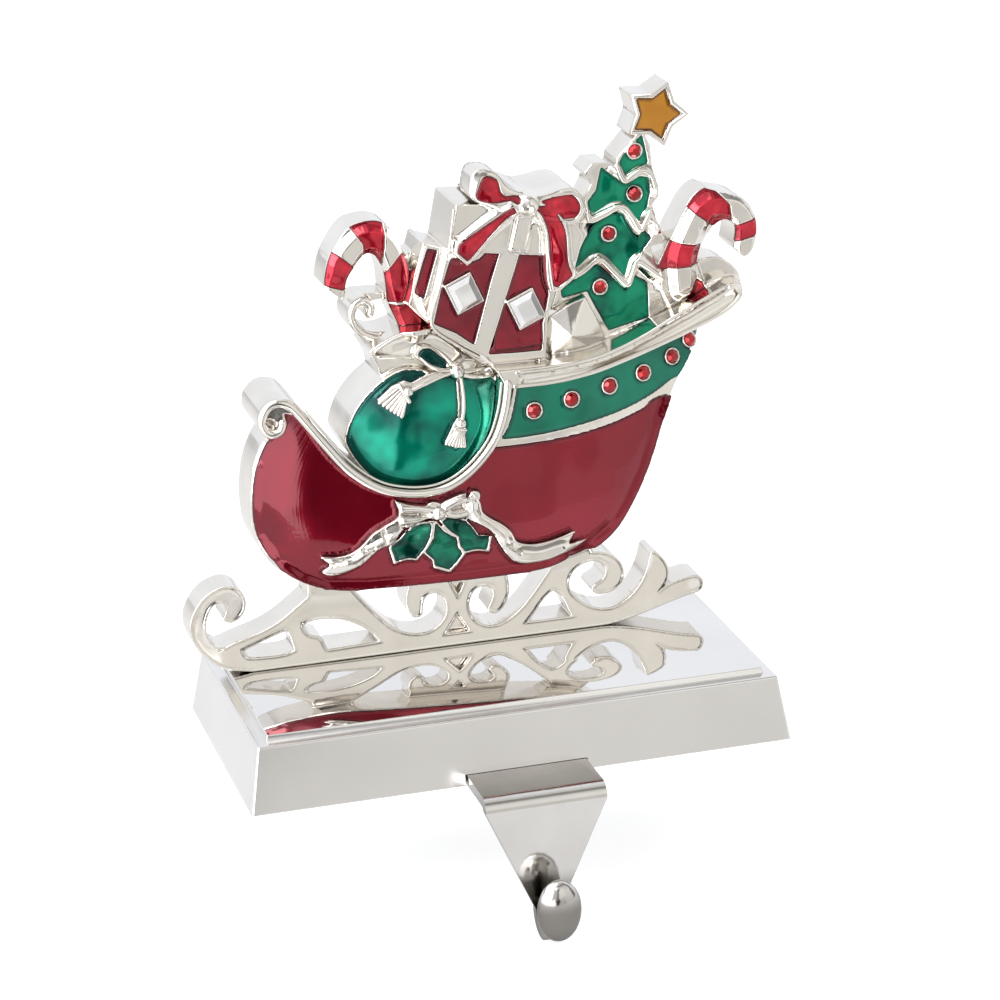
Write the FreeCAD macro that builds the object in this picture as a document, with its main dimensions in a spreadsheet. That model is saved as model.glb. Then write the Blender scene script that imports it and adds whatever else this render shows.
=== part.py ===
import FreeCAD, Part
import math
import os

from FreeCAD import Placement, Rotation, Vector

# Mantel stocking holder: a weighted base that stands on a shelf, a hook that hangs in front
# of the shelf's edge, and a cast and enamelled sleigh standing on the base.
# Frame: origin in the middle of the base's underside, +X to the right, front towards -Y, +Z up.

doc = FreeCAD.newDocument("MantelStockingHolder")
sheet = doc.addObject("Spreadsheet::Sheet", "Sizes")

sizes = {
    # base casting
    "base_length": 140.0,
    "base_depth": 70.0,
    "base_height": 17.0,
    "base_draft": 2.8,
    "base_round": 0.7,
    "shell_wall": 2.0,
    "rim_lift": 0.3,
    "panel_height": 1.5,
    "panel_inset": 2.8,
    "panel_draft": 0.4,
    # weight, pad and their screws
    "weight_gap": 3.2,
    "weight_top": 10.5,
    "weight_screw_spacing": 84.0,
    "weight_screw_radius": 2.0,
    "weight_head_radius": 3.8,
    "weight_head_height": 2.4,
    "boss_radius": 4.5,
    "pad_thickness": 1.2,
    "pad_gap": 1.0,
    "screw_clearance": 0.25,
    "thread_clearance": 0.05,
    # hook
    "hook_width": 31.0,
    "hook_tip_width": 6.4,
    "hook_thickness": 2.7,
    "hook_bend": 0.8,
    "hook_reach": 16.0,
    "hook_drop": 28.0,
    "hook_throat": 3.4,
    "hook_tip_rise": 3.0,
    "hook_tongue": 23.0,
    "hook_side_gap": 0.3,
    "knob_width": 11.2,
    "knob_thickness": 7.0,
    "knob_height": 16.4,
    "hook_screw_spacing": 18.0,
    "hook_screw_radius": 1.5,
    "hook_screw_length": 7.5,
    "hook_head_radius": 2.9,
    # sleigh casting, measured forward from its flat back
    "figure_back": 20.0,
    "sole_line": 18.1,
    "drawing_unit": 1.0,
    "runner_thickness": 9.6,
    "crown_thickness": 22.0,
    "rim_thickness": 22.9,
    "sack_thickness": 23.0,
    "inner_wall_thickness": 15.0,
    "back_lip_thickness": 16.5,
    "back_curl_thickness": 11.0,
    "gift_thickness": 17.0,
    "gift_side_thickness": 14.5,
    "lid_thickness": 19.0,
    "lid_ribbon_rise": 0.5,
    "gift_bow_thickness": 20.5,
    "parcel_thickness": 13.0,
    "parcel_peak": 3.5,
    "tree_thickness": 10.0,
    "star_thickness": 10.0,
    "cane_thickness": 10.5,
    "backing_thickness": 8.0,
    "ribbon_rise": 1.6,
    "leaf_rise": 1.1,
    "cord_rise": 1.3,
    "enamel_thickness": 1.2,
    "thin_enamel": 0.8,
    "blind_recess": 3.0,
    "star_radius": 8.6,
    "star_enamel_radius": 6.7,
    "star_waist": 0.62,
    # pegs and screws that hold the sleigh
    "peg_spacing": 48.0,
    "peg_offset": 9.0,
    "peg_radius": 3.0,
    "peg_length": 3.2,
    "peg_clearance": 0.2,
    "figure_screw_radius": 1.5,
    "figure_screw_length": 5.0,
    "figure_head_radius": 4.5,
    "figure_head_height": 2.0,
    # stones
    "band_stone_radius": 1.75,
    "tree_stone_radius": 1.65,
    "collar_wall": 0.5,
    "collar_rise": 0.6,
    "stone_seat": 0.5,
    "stone_girdle": 0.6,
    "stone_crown": 0.7,
    "stone_table": 0.58,
    "crystal_width": 6.4,
    "crystal_length": 7.4,
    "crystal_bezel": 0.55,
    "crystal_rise": 0.8,
    "crystal_seat": 0.5,
    "crystal_girdle": 1.0,
    "crystal_crown": 0.9,
    "crystal_slope": 1.2,
    "crystal_turn": 24.0,
}
for row, (alias, value) in enumerate(sizes.items(), 1):
    sheet.set(f"A{row}", alias)
    sheet.set(f"B{row}", str(value))
    sheet.setAlias(f"B{row}", alias)
doc.recompute()


def size(alias):
    return float(getattr(sheet, alias))


unit = size("drawing_unit")
sole = "(Sizes.base_height + Sizes.panel_height)"
datum = f"({sole} - Sizes.sole_line * Sizes.drawing_unit)"
facing_front = Rotation(Vector(1, 0, 0), 90)


def bind(item, **expressions):
    for key, expression in expressions.items():
        item.setExpression(key.replace("_", "."), expression)
    return item


def move(item, x="0", y="0", z="0"):
    item.setExpression("Placement.Base.x", x)
    item.setExpression("Placement.Base.y", y)
    item.setExpression("Placement.Base.z", z)
    return item


def fuse(name, *items):
    result = doc.addObject("Part::MultiFuse", name)
    result.Shapes = list(items)
    return result


def cut(name, base, tool):
    result = doc.addObject("Part::Cut", name)
    result.Base = base
    result.Tool = tool
    return result


def common(name, base, tool):
    result = doc.addObject("Part::MultiCommon", name)
    result.Shapes = [base, tool]
    return result


def compound(name, items):
    result = doc.addObject("Part::Compound", name)
    result.Links = list(items)
    return result


def cylinder(name, radius, height, x, y, z, turn=None):
    item = doc.addObject("Part::Cylinder", name)
    item.Placement = Placement(Vector(), turn or Rotation())
    bind(item, Radius=radius, Height=height)
    return move(item, x, y, z)


def block(name, length, width, height, x, y, z):
    item = doc.addObject("Part::Box", name)
    bind(item, Length=length, Width=width, Height=height)
    return move(item, x, y, z)


# A drafted block that stands on its larger face, centred on X and Y.
def frustum(name, length, width, height, draft, z):
    item = doc.addObject("Part::Wedge", name)
    item.Placement = Placement(Vector(), facing_front)
    bind(item, Xmin=f"-({length}) / 2", Xmax=f"({length}) / 2", Zmin=f"-({width}) / 2", Zmax=f"({width}) / 2",
         Ymin="0", Ymax=height)
    bind(item, X2min=f"{draft} - ({length}) / 2", X2max=f"({length}) / 2 - {draft}",
         Z2min=f"{draft} - ({width}) / 2", Z2max=f"({width}) / 2 - {draft}")
    return move(item, z=z)


# An outline lists corners and curves. A pair is a corner that a straight line leads to.
# A list of pairs is a smooth curve through them from where the line before it ended.
def draw(sketch, outline):
    if len(outline) == 1:
        curve = Part.BSplineCurve()
        curve.interpolate([Vector(x * unit, z * unit, 0) for x, z in outline[0]], PeriodicFlag=True)
        sketch.addGeometry(curve, False)
        return
    last = outline[-1][-1] if isinstance(outline[-1], list) else outline[-1]
    for step in outline:
        stops = [last] + (step if isinstance(step, list) else [step])
        points = [Vector(x * unit, z * unit, 0) for x, z in stops]
        if len(points) == 2:
            sketch.addGeometry(Part.LineSegment(points[0], points[1]), False)
        else:
            curve = Part.BSplineCurve()
            curve.interpolate(points)
            sketch.addGeometry(curve, False)
        last = stops[-1]


# A sketch of the sleigh, standing on the flat back and measured up from the runner's sole.
def drawing(name, outlines):
    sketch = doc.addObject("Sketcher::SketchObject", name)
    for outline in outlines:
        draw(sketch, outline)
    sketch.Placement = Placement(Vector(), facing_front)
    return move(sketch, y="Sizes.figure_back", z=datum)


# A drawing given its thickness forward from the flat back.
def slab(name, outlines, thickness):
    item = doc.addObject("Part::Extrusion", name)
    item.Base = drawing(name + "_drawing", outlines)
    item.DirMode = "Normal"
    item.Solid = True
    item.FaceMakerClass = "Part::FaceMakerBullseye"
    return bind(item, LengthFwd=thickness)


# A domed limit: an ellipsoid centred on the flat back, given by centre and half sizes.
def crown(name, x, z, half_width, half_height, thickness):
    item = doc.addObject("Part::Ellipsoid", name)
    bind(item, Radius2=f"{half_width} * Sizes.drawing_unit", Radius1=f"{half_height} * Sizes.drawing_unit",
         Radius3=thickness)
    return move(item, f"{x} * Sizes.drawing_unit", "Sizes.figure_back", f"{datum} + {z} * Sizes.drawing_unit")


def scaled(outline, ratio):
    spots = [spot for step in outline for spot in (step if isinstance(step, list) else [step])]
    middle_x = sum(x for x, z in spots) / len(spots)
    middle_z = sum(z for x, z in spots) / len(spots)

    def moved(spot):
        return (middle_x + (spot[0] - middle_x) * ratio, middle_z + (spot[1] - middle_z) * ratio)

    return [[moved(spot) for spot in step] if isinstance(step, list) else moved(step) for step in outline]


# Base: a drafted hollow casting with a raised mirror panel, open below.
cavity_roof = "(Sizes.base_height - Sizes.shell_wall)"
hook_top = "(Sizes.rim_lift + Sizes.hook_thickness)"
notch_width = "(Sizes.hook_width + 2 * Sizes.hook_side_gap)"
front_face = "(Sizes.base_depth / 2)"
tongue_end = "(Sizes.hook_tongue - Sizes.base_depth / 2)"

body = frustum("base_body", "Sizes.base_length", "Sizes.base_depth",
               "Sizes.base_height - Sizes.rim_lift", "Sizes.base_draft", "Sizes.rim_lift")
doc.recompute()
rounded = doc.addObject("Part::Fillet", "base_rounded")
rounded.Base = body
rounded.Edges = [(number, size("base_round"), size("base_round"))
                 for number, edge in enumerate(body.Shape.Edges, 1)
                 if edge.BoundBox.ZMax > size("base_height") - 0.01]
panel = frustum("mirror_panel", "Sizes.base_length - 2 * (Sizes.base_draft + Sizes.panel_inset)",
                "Sizes.base_depth - 2 * (Sizes.base_draft + Sizes.panel_inset)",
                "Sizes.panel_height", "Sizes.panel_draft", "Sizes.base_height")
cavity = frustum("base_cavity", "Sizes.base_length - 2 * Sizes.shell_wall",
                 "Sizes.base_depth - 2 * Sizes.shell_wall", cavity_roof, "Sizes.base_draft", "0")
notch = block("hook_notch", notch_width, "Sizes.shell_wall * 2 + Sizes.base_draft",
              f"{hook_top} + Sizes.thread_clearance", f"-{notch_width} / 2", f"-{front_face} - 1", "0")
hollow = cut("base_hollow", fuse("base_outer", rounded, panel), fuse("base_voids", cavity, notch))
bosses = []
boss_bores = []
weight_holes = []
weight_screws = []
for side, sign in (("left", "-"), ("right", "")):
    x = f"{sign}Sizes.weight_screw_spacing / 2"
    bosses.append(cylinder(f"{side}_boss", "Sizes.boss_radius", f"{cavity_roof} - Sizes.weight_top + 0.5",
                           x, "0", "Sizes.weight_top"))
    boss_bores.append(cylinder(f"{side}_boss_bore", "Sizes.weight_screw_radius + Sizes.thread_clearance",
                               f"{cavity_roof} - Sizes.weight_top", x, "0", "Sizes.weight_top - 1"))
    shank = cylinder(f"{side}_weight_shank", "Sizes.weight_screw_radius",
                     "Sizes.weight_top - Sizes.pad_thickness - Sizes.weight_head_height + 3",
                     x, "0", "Sizes.pad_thickness + Sizes.weight_head_height")
    head = cylinder(f"{side}_weight_head", "Sizes.weight_head_radius", "Sizes.weight_head_height",
                    x, "0", "Sizes.pad_thickness")
    weight_screws.append(fuse(f"{side}_weight_screw", shank, head))
    weight_holes.append(cylinder(f"{side}_weight_hole", "Sizes.weight_screw_radius + Sizes.screw_clearance",
                                 "Sizes.weight_top + 2", x, "0", "0"))
    weight_holes.append(cylinder(f"{side}_weight_recess", "Sizes.weight_head_radius + Sizes.screw_clearance",
                                 "Sizes.weight_head_height + 1", x, "0", "Sizes.pad_thickness - 1"))

peg_places = [("left", "(Sizes.peg_offset - Sizes.peg_spacing / 2)"),
              ("right", "(Sizes.peg_offset + Sizes.peg_spacing / 2)")]
peg_y = "(Sizes.figure_back - Sizes.runner_thickness / 2)"
peg_holes = []
pegs = []
peg_bores = []
figure_screws = []
for side, x in peg_places:
    peg_holes.append(cylinder(f"{side}_peg_hole", "Sizes.peg_radius + Sizes.peg_clearance",
                              "Sizes.shell_wall + Sizes.panel_height + 2", x, peg_y, f"{cavity_roof} - 1"))
    pegs.append(cylinder(f"{side}_peg", "Sizes.peg_radius", "Sizes.peg_length + 1",
                         x, peg_y, f"{sole} - Sizes.peg_length"))
    peg_bores.append(cylinder(f"{side}_peg_bore", "Sizes.figure_screw_radius + Sizes.thread_clearance",
                              "Sizes.figure_screw_length", x, peg_y, f"{cavity_roof} + 0.3"))
    shank = cylinder(f"{side}_figure_shank", "Sizes.figure_screw_radius", "Sizes.figure_screw_length",
                     x, peg_y, cavity_roof)
    head = cylinder(f"{side}_figure_head", "Sizes.figure_head_radius", "Sizes.figure_head_height",
                    x, peg_y, f"{cavity_roof} - Sizes.figure_head_height")
    figure_screws.append(fuse(f"{side}_figure_screw", shank, head))

base_shell = cut("base_shell", fuse("shell_solid", hollow, *bosses),
                 fuse("shell_bores", *(boss_bores + peg_holes)))

# Weight: an iron slab screwed up to the bosses, with a channel for the hook's tongue.
weight_length = "(Sizes.base_length - 2 * (Sizes.shell_wall + Sizes.base_draft + Sizes.weight_gap))"
weight_depth = "(Sizes.base_depth - 2 * (Sizes.shell_wall + Sizes.base_draft + Sizes.weight_gap))"
slab_block = block("weight_slab", weight_length, weight_depth, "Sizes.weight_top - Sizes.pad_thickness",
                   f"-{weight_length} / 2", f"-{weight_depth} / 2", "Sizes.pad_thickness")
channel = block("hook_channel", notch_width, f"{weight_depth} / 2 + {tongue_end} + Sizes.hook_side_gap + 1",
                hook_top, f"-{notch_width} / 2", f"-{weight_depth} / 2 - 1", "0")

# Hook: one bent and tapered bar, from the tongue under the weight to the curl in front.
plate_front = -(size("base_depth") / 2 + size("hook_reach"))
bar = size("hook_thickness")
bend_outer = size("hook_bend") + bar
top = size("rim_lift") + bar
curl_z = -size("hook_drop")
throat = size("hook_throat")
tongue = size("hook_tongue") - size("base_depth") / 2
tip_z = curl_z + size("hook_tip_rise")


def line(sketch, *spots):
    for start, end in zip(spots, spots[1:]):
        sketch.addGeometry(Part.LineSegment(Vector(*start, 0), Vector(*end, 0)), False)


def arc(sketch, start, middle, end):
    sketch.addGeometry(Part.Arc(Vector(*start, 0), Vector(*middle, 0), Vector(*end, 0)), False)


# Half-way point of an arc about a centre, at an angle in degrees.
def on_arc(centre, radius, angle):
    turn = math.radians(angle)
    return (centre[0] + radius * math.cos(turn), centre[1] + radius * math.sin(turn))


bend_centre = (plate_front + bend_outer, top - bend_outer)
curl_centre = (plate_front - throat, curl_z)
profile = doc.addObject("Sketcher::SketchObject", "hook_profile")
line(profile, (tongue, top), (bend_centre[0], top))
arc(profile, (bend_centre[0], top), on_arc(bend_centre, bend_outer, 135), (plate_front, bend_centre[1]))
line(profile, (plate_front, bend_centre[1]), (plate_front, curl_z))
arc(profile, (plate_front, curl_z), on_arc(curl_centre, throat, -90), (plate_front - 2 * throat, curl_z))
line(profile, (plate_front - 2 * throat, curl_z), (plate_front - 2 * throat, tip_z),
     (plate_front - 2 * throat - bar, tip_z), (plate_front - 2 * throat - bar, curl_z))
arc(profile, (plate_front - 2 * throat - bar, curl_z), on_arc(curl_centre, throat + bar, -90),
    (plate_front + bar, curl_z))
line(profile, (plate_front + bar, curl_z), (plate_front + bar, bend_centre[1]))
arc(profile, (plate_front + bar, bend_centre[1]), on_arc(bend_centre, size("hook_bend"), 135),
    (bend_centre[0], top - bar))
line(profile, (bend_centre[0], top - bar), (tongue, top - bar), (tongue, top))
profile.Placement = Placement(Vector(), Rotation(Vector(1, 1, 1), 120))
strip = doc.addObject("Part::Extrusion", "hook_strip")
strip.Base = profile
strip.DirMode = "Normal"
strip.Solid = True
strip.Symmetric = True
bind(strip, LengthFwd="Sizes.hook_width")

half_width = size("hook_width") / 2
half_tip = size("hook_tip_width") / 2
taper = doc.addObject("Sketcher::SketchObject", "hook_taper")
line(taper, (-half_width, top + 1), (-half_width, bend_centre[1]), (-half_tip, curl_z),
     (-half_tip, curl_z - 2 * (throat + bar)), (half_tip, curl_z - 2 * (throat + bar)), (half_tip, curl_z),
     (half_width, bend_centre[1]), (half_width, top + 1), (-half_width, top + 1))
taper.Placement = Placement(Vector(0, tongue + 1, 0), facing_front)
taper_slab = doc.addObject("Part::Extrusion", "hook_taper_slab")
taper_slab.Base = taper
taper_slab.DirMode = "Normal"
taper_slab.Solid = True
bind(taper_slab,
     LengthFwd="Sizes.hook_tongue + Sizes.hook_reach + 4 * (Sizes.hook_throat + Sizes.hook_thickness)")

knob = doc.addObject("Part::Ellipsoid", "hook_knob")
bind(knob, Radius1="Sizes.knob_height / 2", Radius2="Sizes.knob_width / 2",
     Radius3="Sizes.knob_thickness / 2")
move(knob, "0", f"-{front_face} - Sizes.hook_reach - 2 * Sizes.hook_throat - Sizes.hook_thickness * 0.7",
     "Sizes.hook_tip_rise + 0.4 - Sizes.hook_drop")
hook_bar = fuse("hook_bar", common("hook_tapered", strip, taper_slab), knob)
hook_sinks = []
hook_screws = []
hook_taps = []
hook_screw_y = f"({tongue_end} - 8)"
for side, sign in (("left", "-"), ("right", "")):
    x = f"{sign}Sizes.hook_screw_spacing / 2"
    hook_sinks.append(cylinder(f"{side}_hook_hole", "Sizes.hook_screw_radius + Sizes.screw_clearance",
                               "Sizes.hook_thickness + 2", x, hook_screw_y, "Sizes.rim_lift - 1"))
    sink = doc.addObject("Part::Cone", f"{side}_hook_sink")
    bind(sink, Radius1="Sizes.hook_head_radius", Radius2="Sizes.hook_screw_radius",
         Height="Sizes.hook_head_radius - Sizes.hook_screw_radius")
    hook_sinks.append(move(sink, x, hook_screw_y, "Sizes.rim_lift"))
    cone = doc.addObject("Part::Cone", f"{side}_hook_head")
    bind(cone, Radius1="Sizes.hook_head_radius", Radius2="Sizes.hook_screw_radius",
         Height="Sizes.hook_head_radius - Sizes.hook_screw_radius")
    move(cone, x, hook_screw_y, "Sizes.rim_lift")
    shank = cylinder(f"{side}_hook_shank", "Sizes.hook_screw_radius", "Sizes.hook_screw_length",
                     x, hook_screw_y, "Sizes.rim_lift + 0.2")
    hook_screws.append(fuse(f"{side}_hook_screw", cone, shank))
    hook_taps.append(cylinder(f"{side}_hook_tap", "Sizes.hook_screw_radius + Sizes.thread_clearance",
                              "Sizes.hook_screw_length + 0.6", x, hook_screw_y, "Sizes.rim_lift"))
hook = cut("hook", hook_bar, fuse("hook_holes", *hook_sinks))
base_weight = cut("base_weight", slab_block, fuse("weight_cuts", channel, *(weight_holes + hook_taps)))

pad_length = "(Sizes.base_length - 2 * (Sizes.shell_wall + Sizes.pad_gap))"
pad_depth = "(Sizes.base_depth - 2 * (Sizes.shell_wall + Sizes.pad_gap))"
pad_sheet = block("pad_sheet", pad_length, pad_depth, "Sizes.pad_thickness",
                  f"-{pad_length} / 2", f"-{pad_depth} / 2", "0")
pad_notch = block("pad_notch", notch_width, f"{pad_depth} / 2 + {tongue_end} + Sizes.pad_gap + 1",
                  "Sizes.pad_thickness + 2", f"-{notch_width} / 2", f"-{pad_depth} / 2 - 1", "-1")
base_pad = cut("base_pad", pad_sheet, pad_notch)

# Runner: rail, front scroll, two struts, two mirrored scrolls, rear scroll and forked tail.
runner_edge = [
    [(-62, 18.9), (-66.5, 20.3), (-70, 23.2), (-72.6, 26.6), (-74, 30.5), (-73.8, 34), (-72.3, 37.2),
     (-70, 40), (-67, 41.7), (-63.5, 42.2), (-61.1, 41), (-59.6, 38.8), (-59.4, 36.2), (-60.4, 34),
     (-62.3, 32.5), (-64.3, 32.4), (-65.5, 33.7)],
    [(-64.6, 35.6), (-64.9, 37.2), (-66.3, 37.9), (-68, 37), (-69.3, 34.6), (-69.9, 31.4), (-69.2, 28.4),
     (-67.6, 26.4), (-65.4, 25.7)],
    [(-62, 27), (-57, 28.4), (-52, 30.5), (-47, 33.9), (-43.5, 36.6)],
    (-43, 43), (-33, 43), (-32, 38),
    [(-29.6, 34.6), (-26.6, 30.9), (-23.6, 27.6), (-20.6, 24.9), (-18.2, 23.6), (-15.4, 22.9),
     (-12.4, 22.9), (-9.9, 23.9), (-8, 25.8), (-7.1, 28.2), (-7.4, 30.7), (-8.8, 32.6), (-10.6, 33.2),
     (-12.3, 32.5), (-13.1, 30.9), (-13.3, 28.6)],
    [(-14, 27.4), (-15.4, 27.1), (-16.8, 28.2), (-17.6, 30.2), (-17.8, 32.6), (-17.2, 35.5)],
    (-17, 43), (9.4, 43), (9.5, 35.5),
    [(9.9, 33), (9.8, 30.6), (8.9, 28.2), (7.6, 26.4), (6.2, 25.6), (4.8, 25.8), (3.9, 27)],
    [(4.6, 28.6), (5.3, 30.4), (5.2, 32), (4.2, 33.1), (2.6, 33.4), (0.9, 32.8), (-0.4, 31), (-0.9, 28.6),
     (-0.3, 26.2), (1.2, 24), (3.2, 22.7), (5.6, 22.3), (8.2, 22.9), (11, 24.5), (13.4, 26.6), (16, 29.6),
     (18.6, 33), (20.8, 36)],
    (23, 43), (31.5, 45), (32.6, 39),
    [(36.2, 38.4), (38.8, 36.8), (40.6, 34.4), (41.1, 31.8), (40.4, 29.5), (38.6, 27.9), (36, 27.1),
     (33.6, 27.2), (32, 28.6)],
    [(33, 30), (34.8, 31), (35.8, 32.6), (35.8, 34.3), (34.6, 35.7), (32.5, 36.4), (29.8, 36),
     (27.4, 34.4), (26.2, 32), (26.4, 29.4), (28, 27), (30.2, 25.1), (32.8, 23.7), (35.6, 23),
     (38.2, 23.1), (40.8, 24.2), (43.2, 26), (45.2, 28.4), (46.8, 31.4), (47.8, 34.6), (48.3, 36.6)],
    (49.3, 37.3),
    [(51, 35.8), (52.9, 33), (53.5, 30.4), (52.9, 28), (52, 26.7)],
    [(54.5, 27.9), (58, 28.7), (61.6, 28.7), (62.9, 27.2), (62.8, 25.2), (61.6, 24.1)],
    [(57, 23.2), (50, 21.2), (45, 19.8), (40, 18.7), (35, 18.1)],
    (-58, 18.1),
]
runner_gaps = [
    [[(-56, 25.9), (-52, 27.3), (-49.4, 28.1)], [(-48.4, 26.5), (-47.9, 24.4), (-47.3, 22.6)],
     [(-50, 21.9), (-56, 21.9), (-59.2, 22.5), (-60.4, 24.2)]],
    [[(-42, 30), (-38, 29.9), (-34, 28.9), (-30, 26.8), (-27, 24.4), (-25, 22)], (-38.6, 21.6),
     [(-39.4, 23.4), (-40.3, 25.1), (-41.8, 25.7), (-43.4, 26.5), (-44.4, 27.8), (-44.5, 29.3)]],
    [[(17, 24.9), (19.4, 28), (21.4, 29.6)], [(23.2, 28.6), (25, 25.6), (26.8, 22)], (14.6, 22)],
]
runner_recesses = [[(-5.4, 35.3), (-3.8, 31.9), (-2.3, 35.3)], [(-7.2, 21.6), (-3.9, 26.4), (-1, 21.6)]]

# Hull, its lip with the front curl, and the rolled rim with its tip.
lip_middle = [(9, 90), (5.6, 81.5), (2.4, 76.6), (-2.8, 70.7), (-8.6, 66.9), (-14.6, 65.6), (-21.3, 66.2),
              (-27.8, 68.5), (-34.6, 73.6), (-40.3, 80.8), (-46.4, 89.6)]
hull_edge = [
    [(-56.4, 74.5), (-57.9, 65.5), (-57.2, 56), (-53.6, 49), (-47, 43.6), (-39.5, 40.6), (-30, 39.9)],
    (12, 39.8),
    [(22, 41), (30, 43.5), (35.5, 47.5), (40, 54), (44.5, 63), (48.6, 73.8), (51.6, 81.7), (56, 88.4),
     (61.5, 96)],
    [(58, 101), (46, 95.5), (32, 92), (9, 90)],
    lip_middle[1:],
    (-50.2, 88.5), (-51.2, 83.6),
]
red_cell = [
    [(-55.5, 74.3), (-57, 65.5), (-56.3, 56.4), (-52.9, 49.7), (-46.6, 44.4), (-39.2, 41.4), (-30, 40.7)],
    (12, 40.6),
    [(21.8, 41.8), (29.6, 44.3), (34.8, 48.1), (39.2, 54.5), (43.7, 63.4), (47.7, 74), (50, 81.2)],
    [(44.4, 79.8), (38, 77.9), (29.6, 76.2), (17.3, 75.1), (2.2, 75)],
    lip_middle[3:],
    (-50, 88.5), (-50.4, 83.4),
]
band_cell = [
    [(17.1, 77.2), (27.4, 78.3), (38, 80.3), (46.6, 83.1), (53.4, 86.6)],
    [(56.6, 90), (60, 95.6)],
    [(57.5, 99.9), (49.5, 97.5), (39.2, 94.5), (29, 91.9), (18.8, 90.8), (10.2, 90.6)],
    [(8.7, 85), (7.3, 80.8), (4.9, 77)],
]
lip_band = [
    [(6, 84), (3.2, 76.7), (-2.3, 70.1), (-8.3, 66.1), (-14.5, 64.8), (-21.5, 65.4), (-28.2, 67.7),
     (-35.1, 72.9), (-40.9, 80.1), (-46.9, 88.4), (-50, 89.6)],
    [(-49.6, 86.2), (-51, 83.9), (-53.4, 83.5), (-55.6, 85.3), (-56.2, 88.2), (-54.6, 91.6), (-51.3, 93.3),
     (-48.2, 92.7), (-45.6, 90.3), (-39.7, 81.4), (-34, 74.3), (-27.4, 69.2), (-21, 66.9), (-14.6, 66.3),
     (-8.9, 67.6), (-3.3, 71.3), (1.8, 77.5), (4.4, 84.6), (6, 92)],
    (8.2, 92),
]
rim_band = [
    [(18.8, 90.3), (29, 91.4), (39.2, 93.9), (49.5, 96.9), (57.5, 99.4), (67.3, 103.4), (70.4, 105),
     (71.4, 107.4), (70.4, 109.4), (68.2, 109.6), (60.3, 106), (54.3, 103.4), (45.4, 99.9), (37.3, 97.3),
     (31, 95.9), (20, 94.9), (4, 95)],
    (6.5, 90.2),
]
inner_wall = [
    [(-25, 102.4), (-20, 104.8), (-13, 105.8), (-8, 104.5), (-3, 100), (1, 96.7), (6, 94.8)],
    (16, 94), (16, 88), (-4, 86), (-23.6, 92), (-24.6, 97), (-26.4, 101),
]
back_lip = [
    [(-20.4, 105.3), (-13, 106.4), (-7.4, 105), (-2.3, 100.4), (1.6, 97.2), (8, 95.2)],
    (8, 93.8),
    [(0.6, 96), (-3.6, 99.3), (-8.5, 103.6), (-13, 105), (-20, 104.1), (-26.6, 101)],
    (-27, 101.8),
]
back_curl = [
    [(-26, 103.2), (-29.6, 106), (-30.9, 109.8), (-29.6, 113), (-26.6, 114.3), (-24.3, 112.6),
     (-24.2, 110), (-25.6, 108.5)],
    [(-26.2, 109.8), (-26.3, 111.3), (-27.6, 111.7), (-28.8, 109.8), (-27.8, 106.9), (-24.8, 105.2),
     (-20.5, 105.2)],
    (-20.5, 102.4),
]
curl_bridge = [(-26, 112.4), (-20, 112.2), (-20, 114), (-26, 114.3)]

# Sack with its gathered top, cord, knot and tassels.
sack_edge = [
    [(-32.4, 84.5), (-29, 89.8), (-24, 94.1), (-18.3, 96.4), (-12.5, 95.4), (-8, 93.9), (-3.6, 93),
     (0.5, 92.3), (6.6, 90.8)],
    [(6, 84), (3.6, 77.2), (1, 73.2), (-3, 68.8), (-8, 66), (-14, 65), (-20, 65.8), (-26, 68.8), (-31, 74),
     (-33.8, 79.6)],
]
sack_ear = [[(-14.4, 100.4), (-12.4, 101.2), (-9.6, 99.3), (-7.7, 96.6), (-9, 95.9), (-12.8, 98)]]
tassel_left = [(-26.3, 90.3), (-21.4, 86.4), (-20, 87.2), (-18.9, 91.4), (-17.2, 92), (-17.2, 93.8),
               (-19.2, 94.6), (-22.2, 93.5)]
tassel_right = [(-10.4, 78.8), (-7.3, 76.6), (-5, 77.8), (-4.6, 81.8), (-4.8, 84), (-6.6, 84.6),
                (-7.8, 83.2)]
cord_left = [[(-13, 95.4), (-6.2, 96.2)], (-6.2, 94.8), [(-13, 93.8), (-18.2, 92)], (-18.8, 93.4)]
cord_right = [(-6.3, 84), (-5, 84), [(-4.4, 90), (-4.3, 95.4)], (-5.6, 95.4)]

# Bow, ribbons and holly that stand proud of the hull.
hull_bow = [
    [(-18, 62.8), (-23.2, 64.4)], [(-22.4, 61.2), (-22.6, 57.8)],
    [(-19, 57.3), (-15.4, 59.1), (-13.5, 58.6)],
    [(-11.4, 59), (-8.6, 58.2), (-4.6, 58.6)], [(-5.6, 61.4), (-5, 64.6)], [(-8.6, 63.8), (-11.6, 62.4)],
    [(-13.5, 63.2), (-15.4, 62.4)],
]
ribbon_right = [
    [(-2.6, 64.9), (-1.6, 64.3), (-1.9, 61.6), (-1.2, 59.1), (0.9, 57), (3.9, 55), (6.3, 52.6), (7.6, 50),
     (9.6, 48.8), (12.9, 48.2), (16.9, 48.5), (20.9, 49.4), (23.6, 50.4)],
    (22, 46.8), (27.1, 47.6),
    [(22.9, 45.3), (16.9, 43.5), (11.4, 43.2), (7.9, 44.1), (5.9, 46), (4.1, 48.7), (2.6, 51.5),
     (1.1, 53.8), (-1.1, 55.5), (-3.6, 57), (-7, 60.2)],
    (-7.2, 62.4), (-4.2, 63.8),
]
ribbon_left = [
    [(-26.2, 57.6), (-29, 55.9), (-31.8, 52.8), (-34.6, 51), (-38.4, 50.4), (-42, 50.8)],
    (-39.4, 48.1), (-41.6, 46.4),
    [(-39.6, 45.3), (-35.4, 46.1), (-31.6, 47.9), (-29.7, 49.6), (-27, 51.9), (-24.1, 52.9), (-22.3, 55.3),
     (-19.4, 57.6)],
    (-21.5, 60.4),
]
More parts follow.
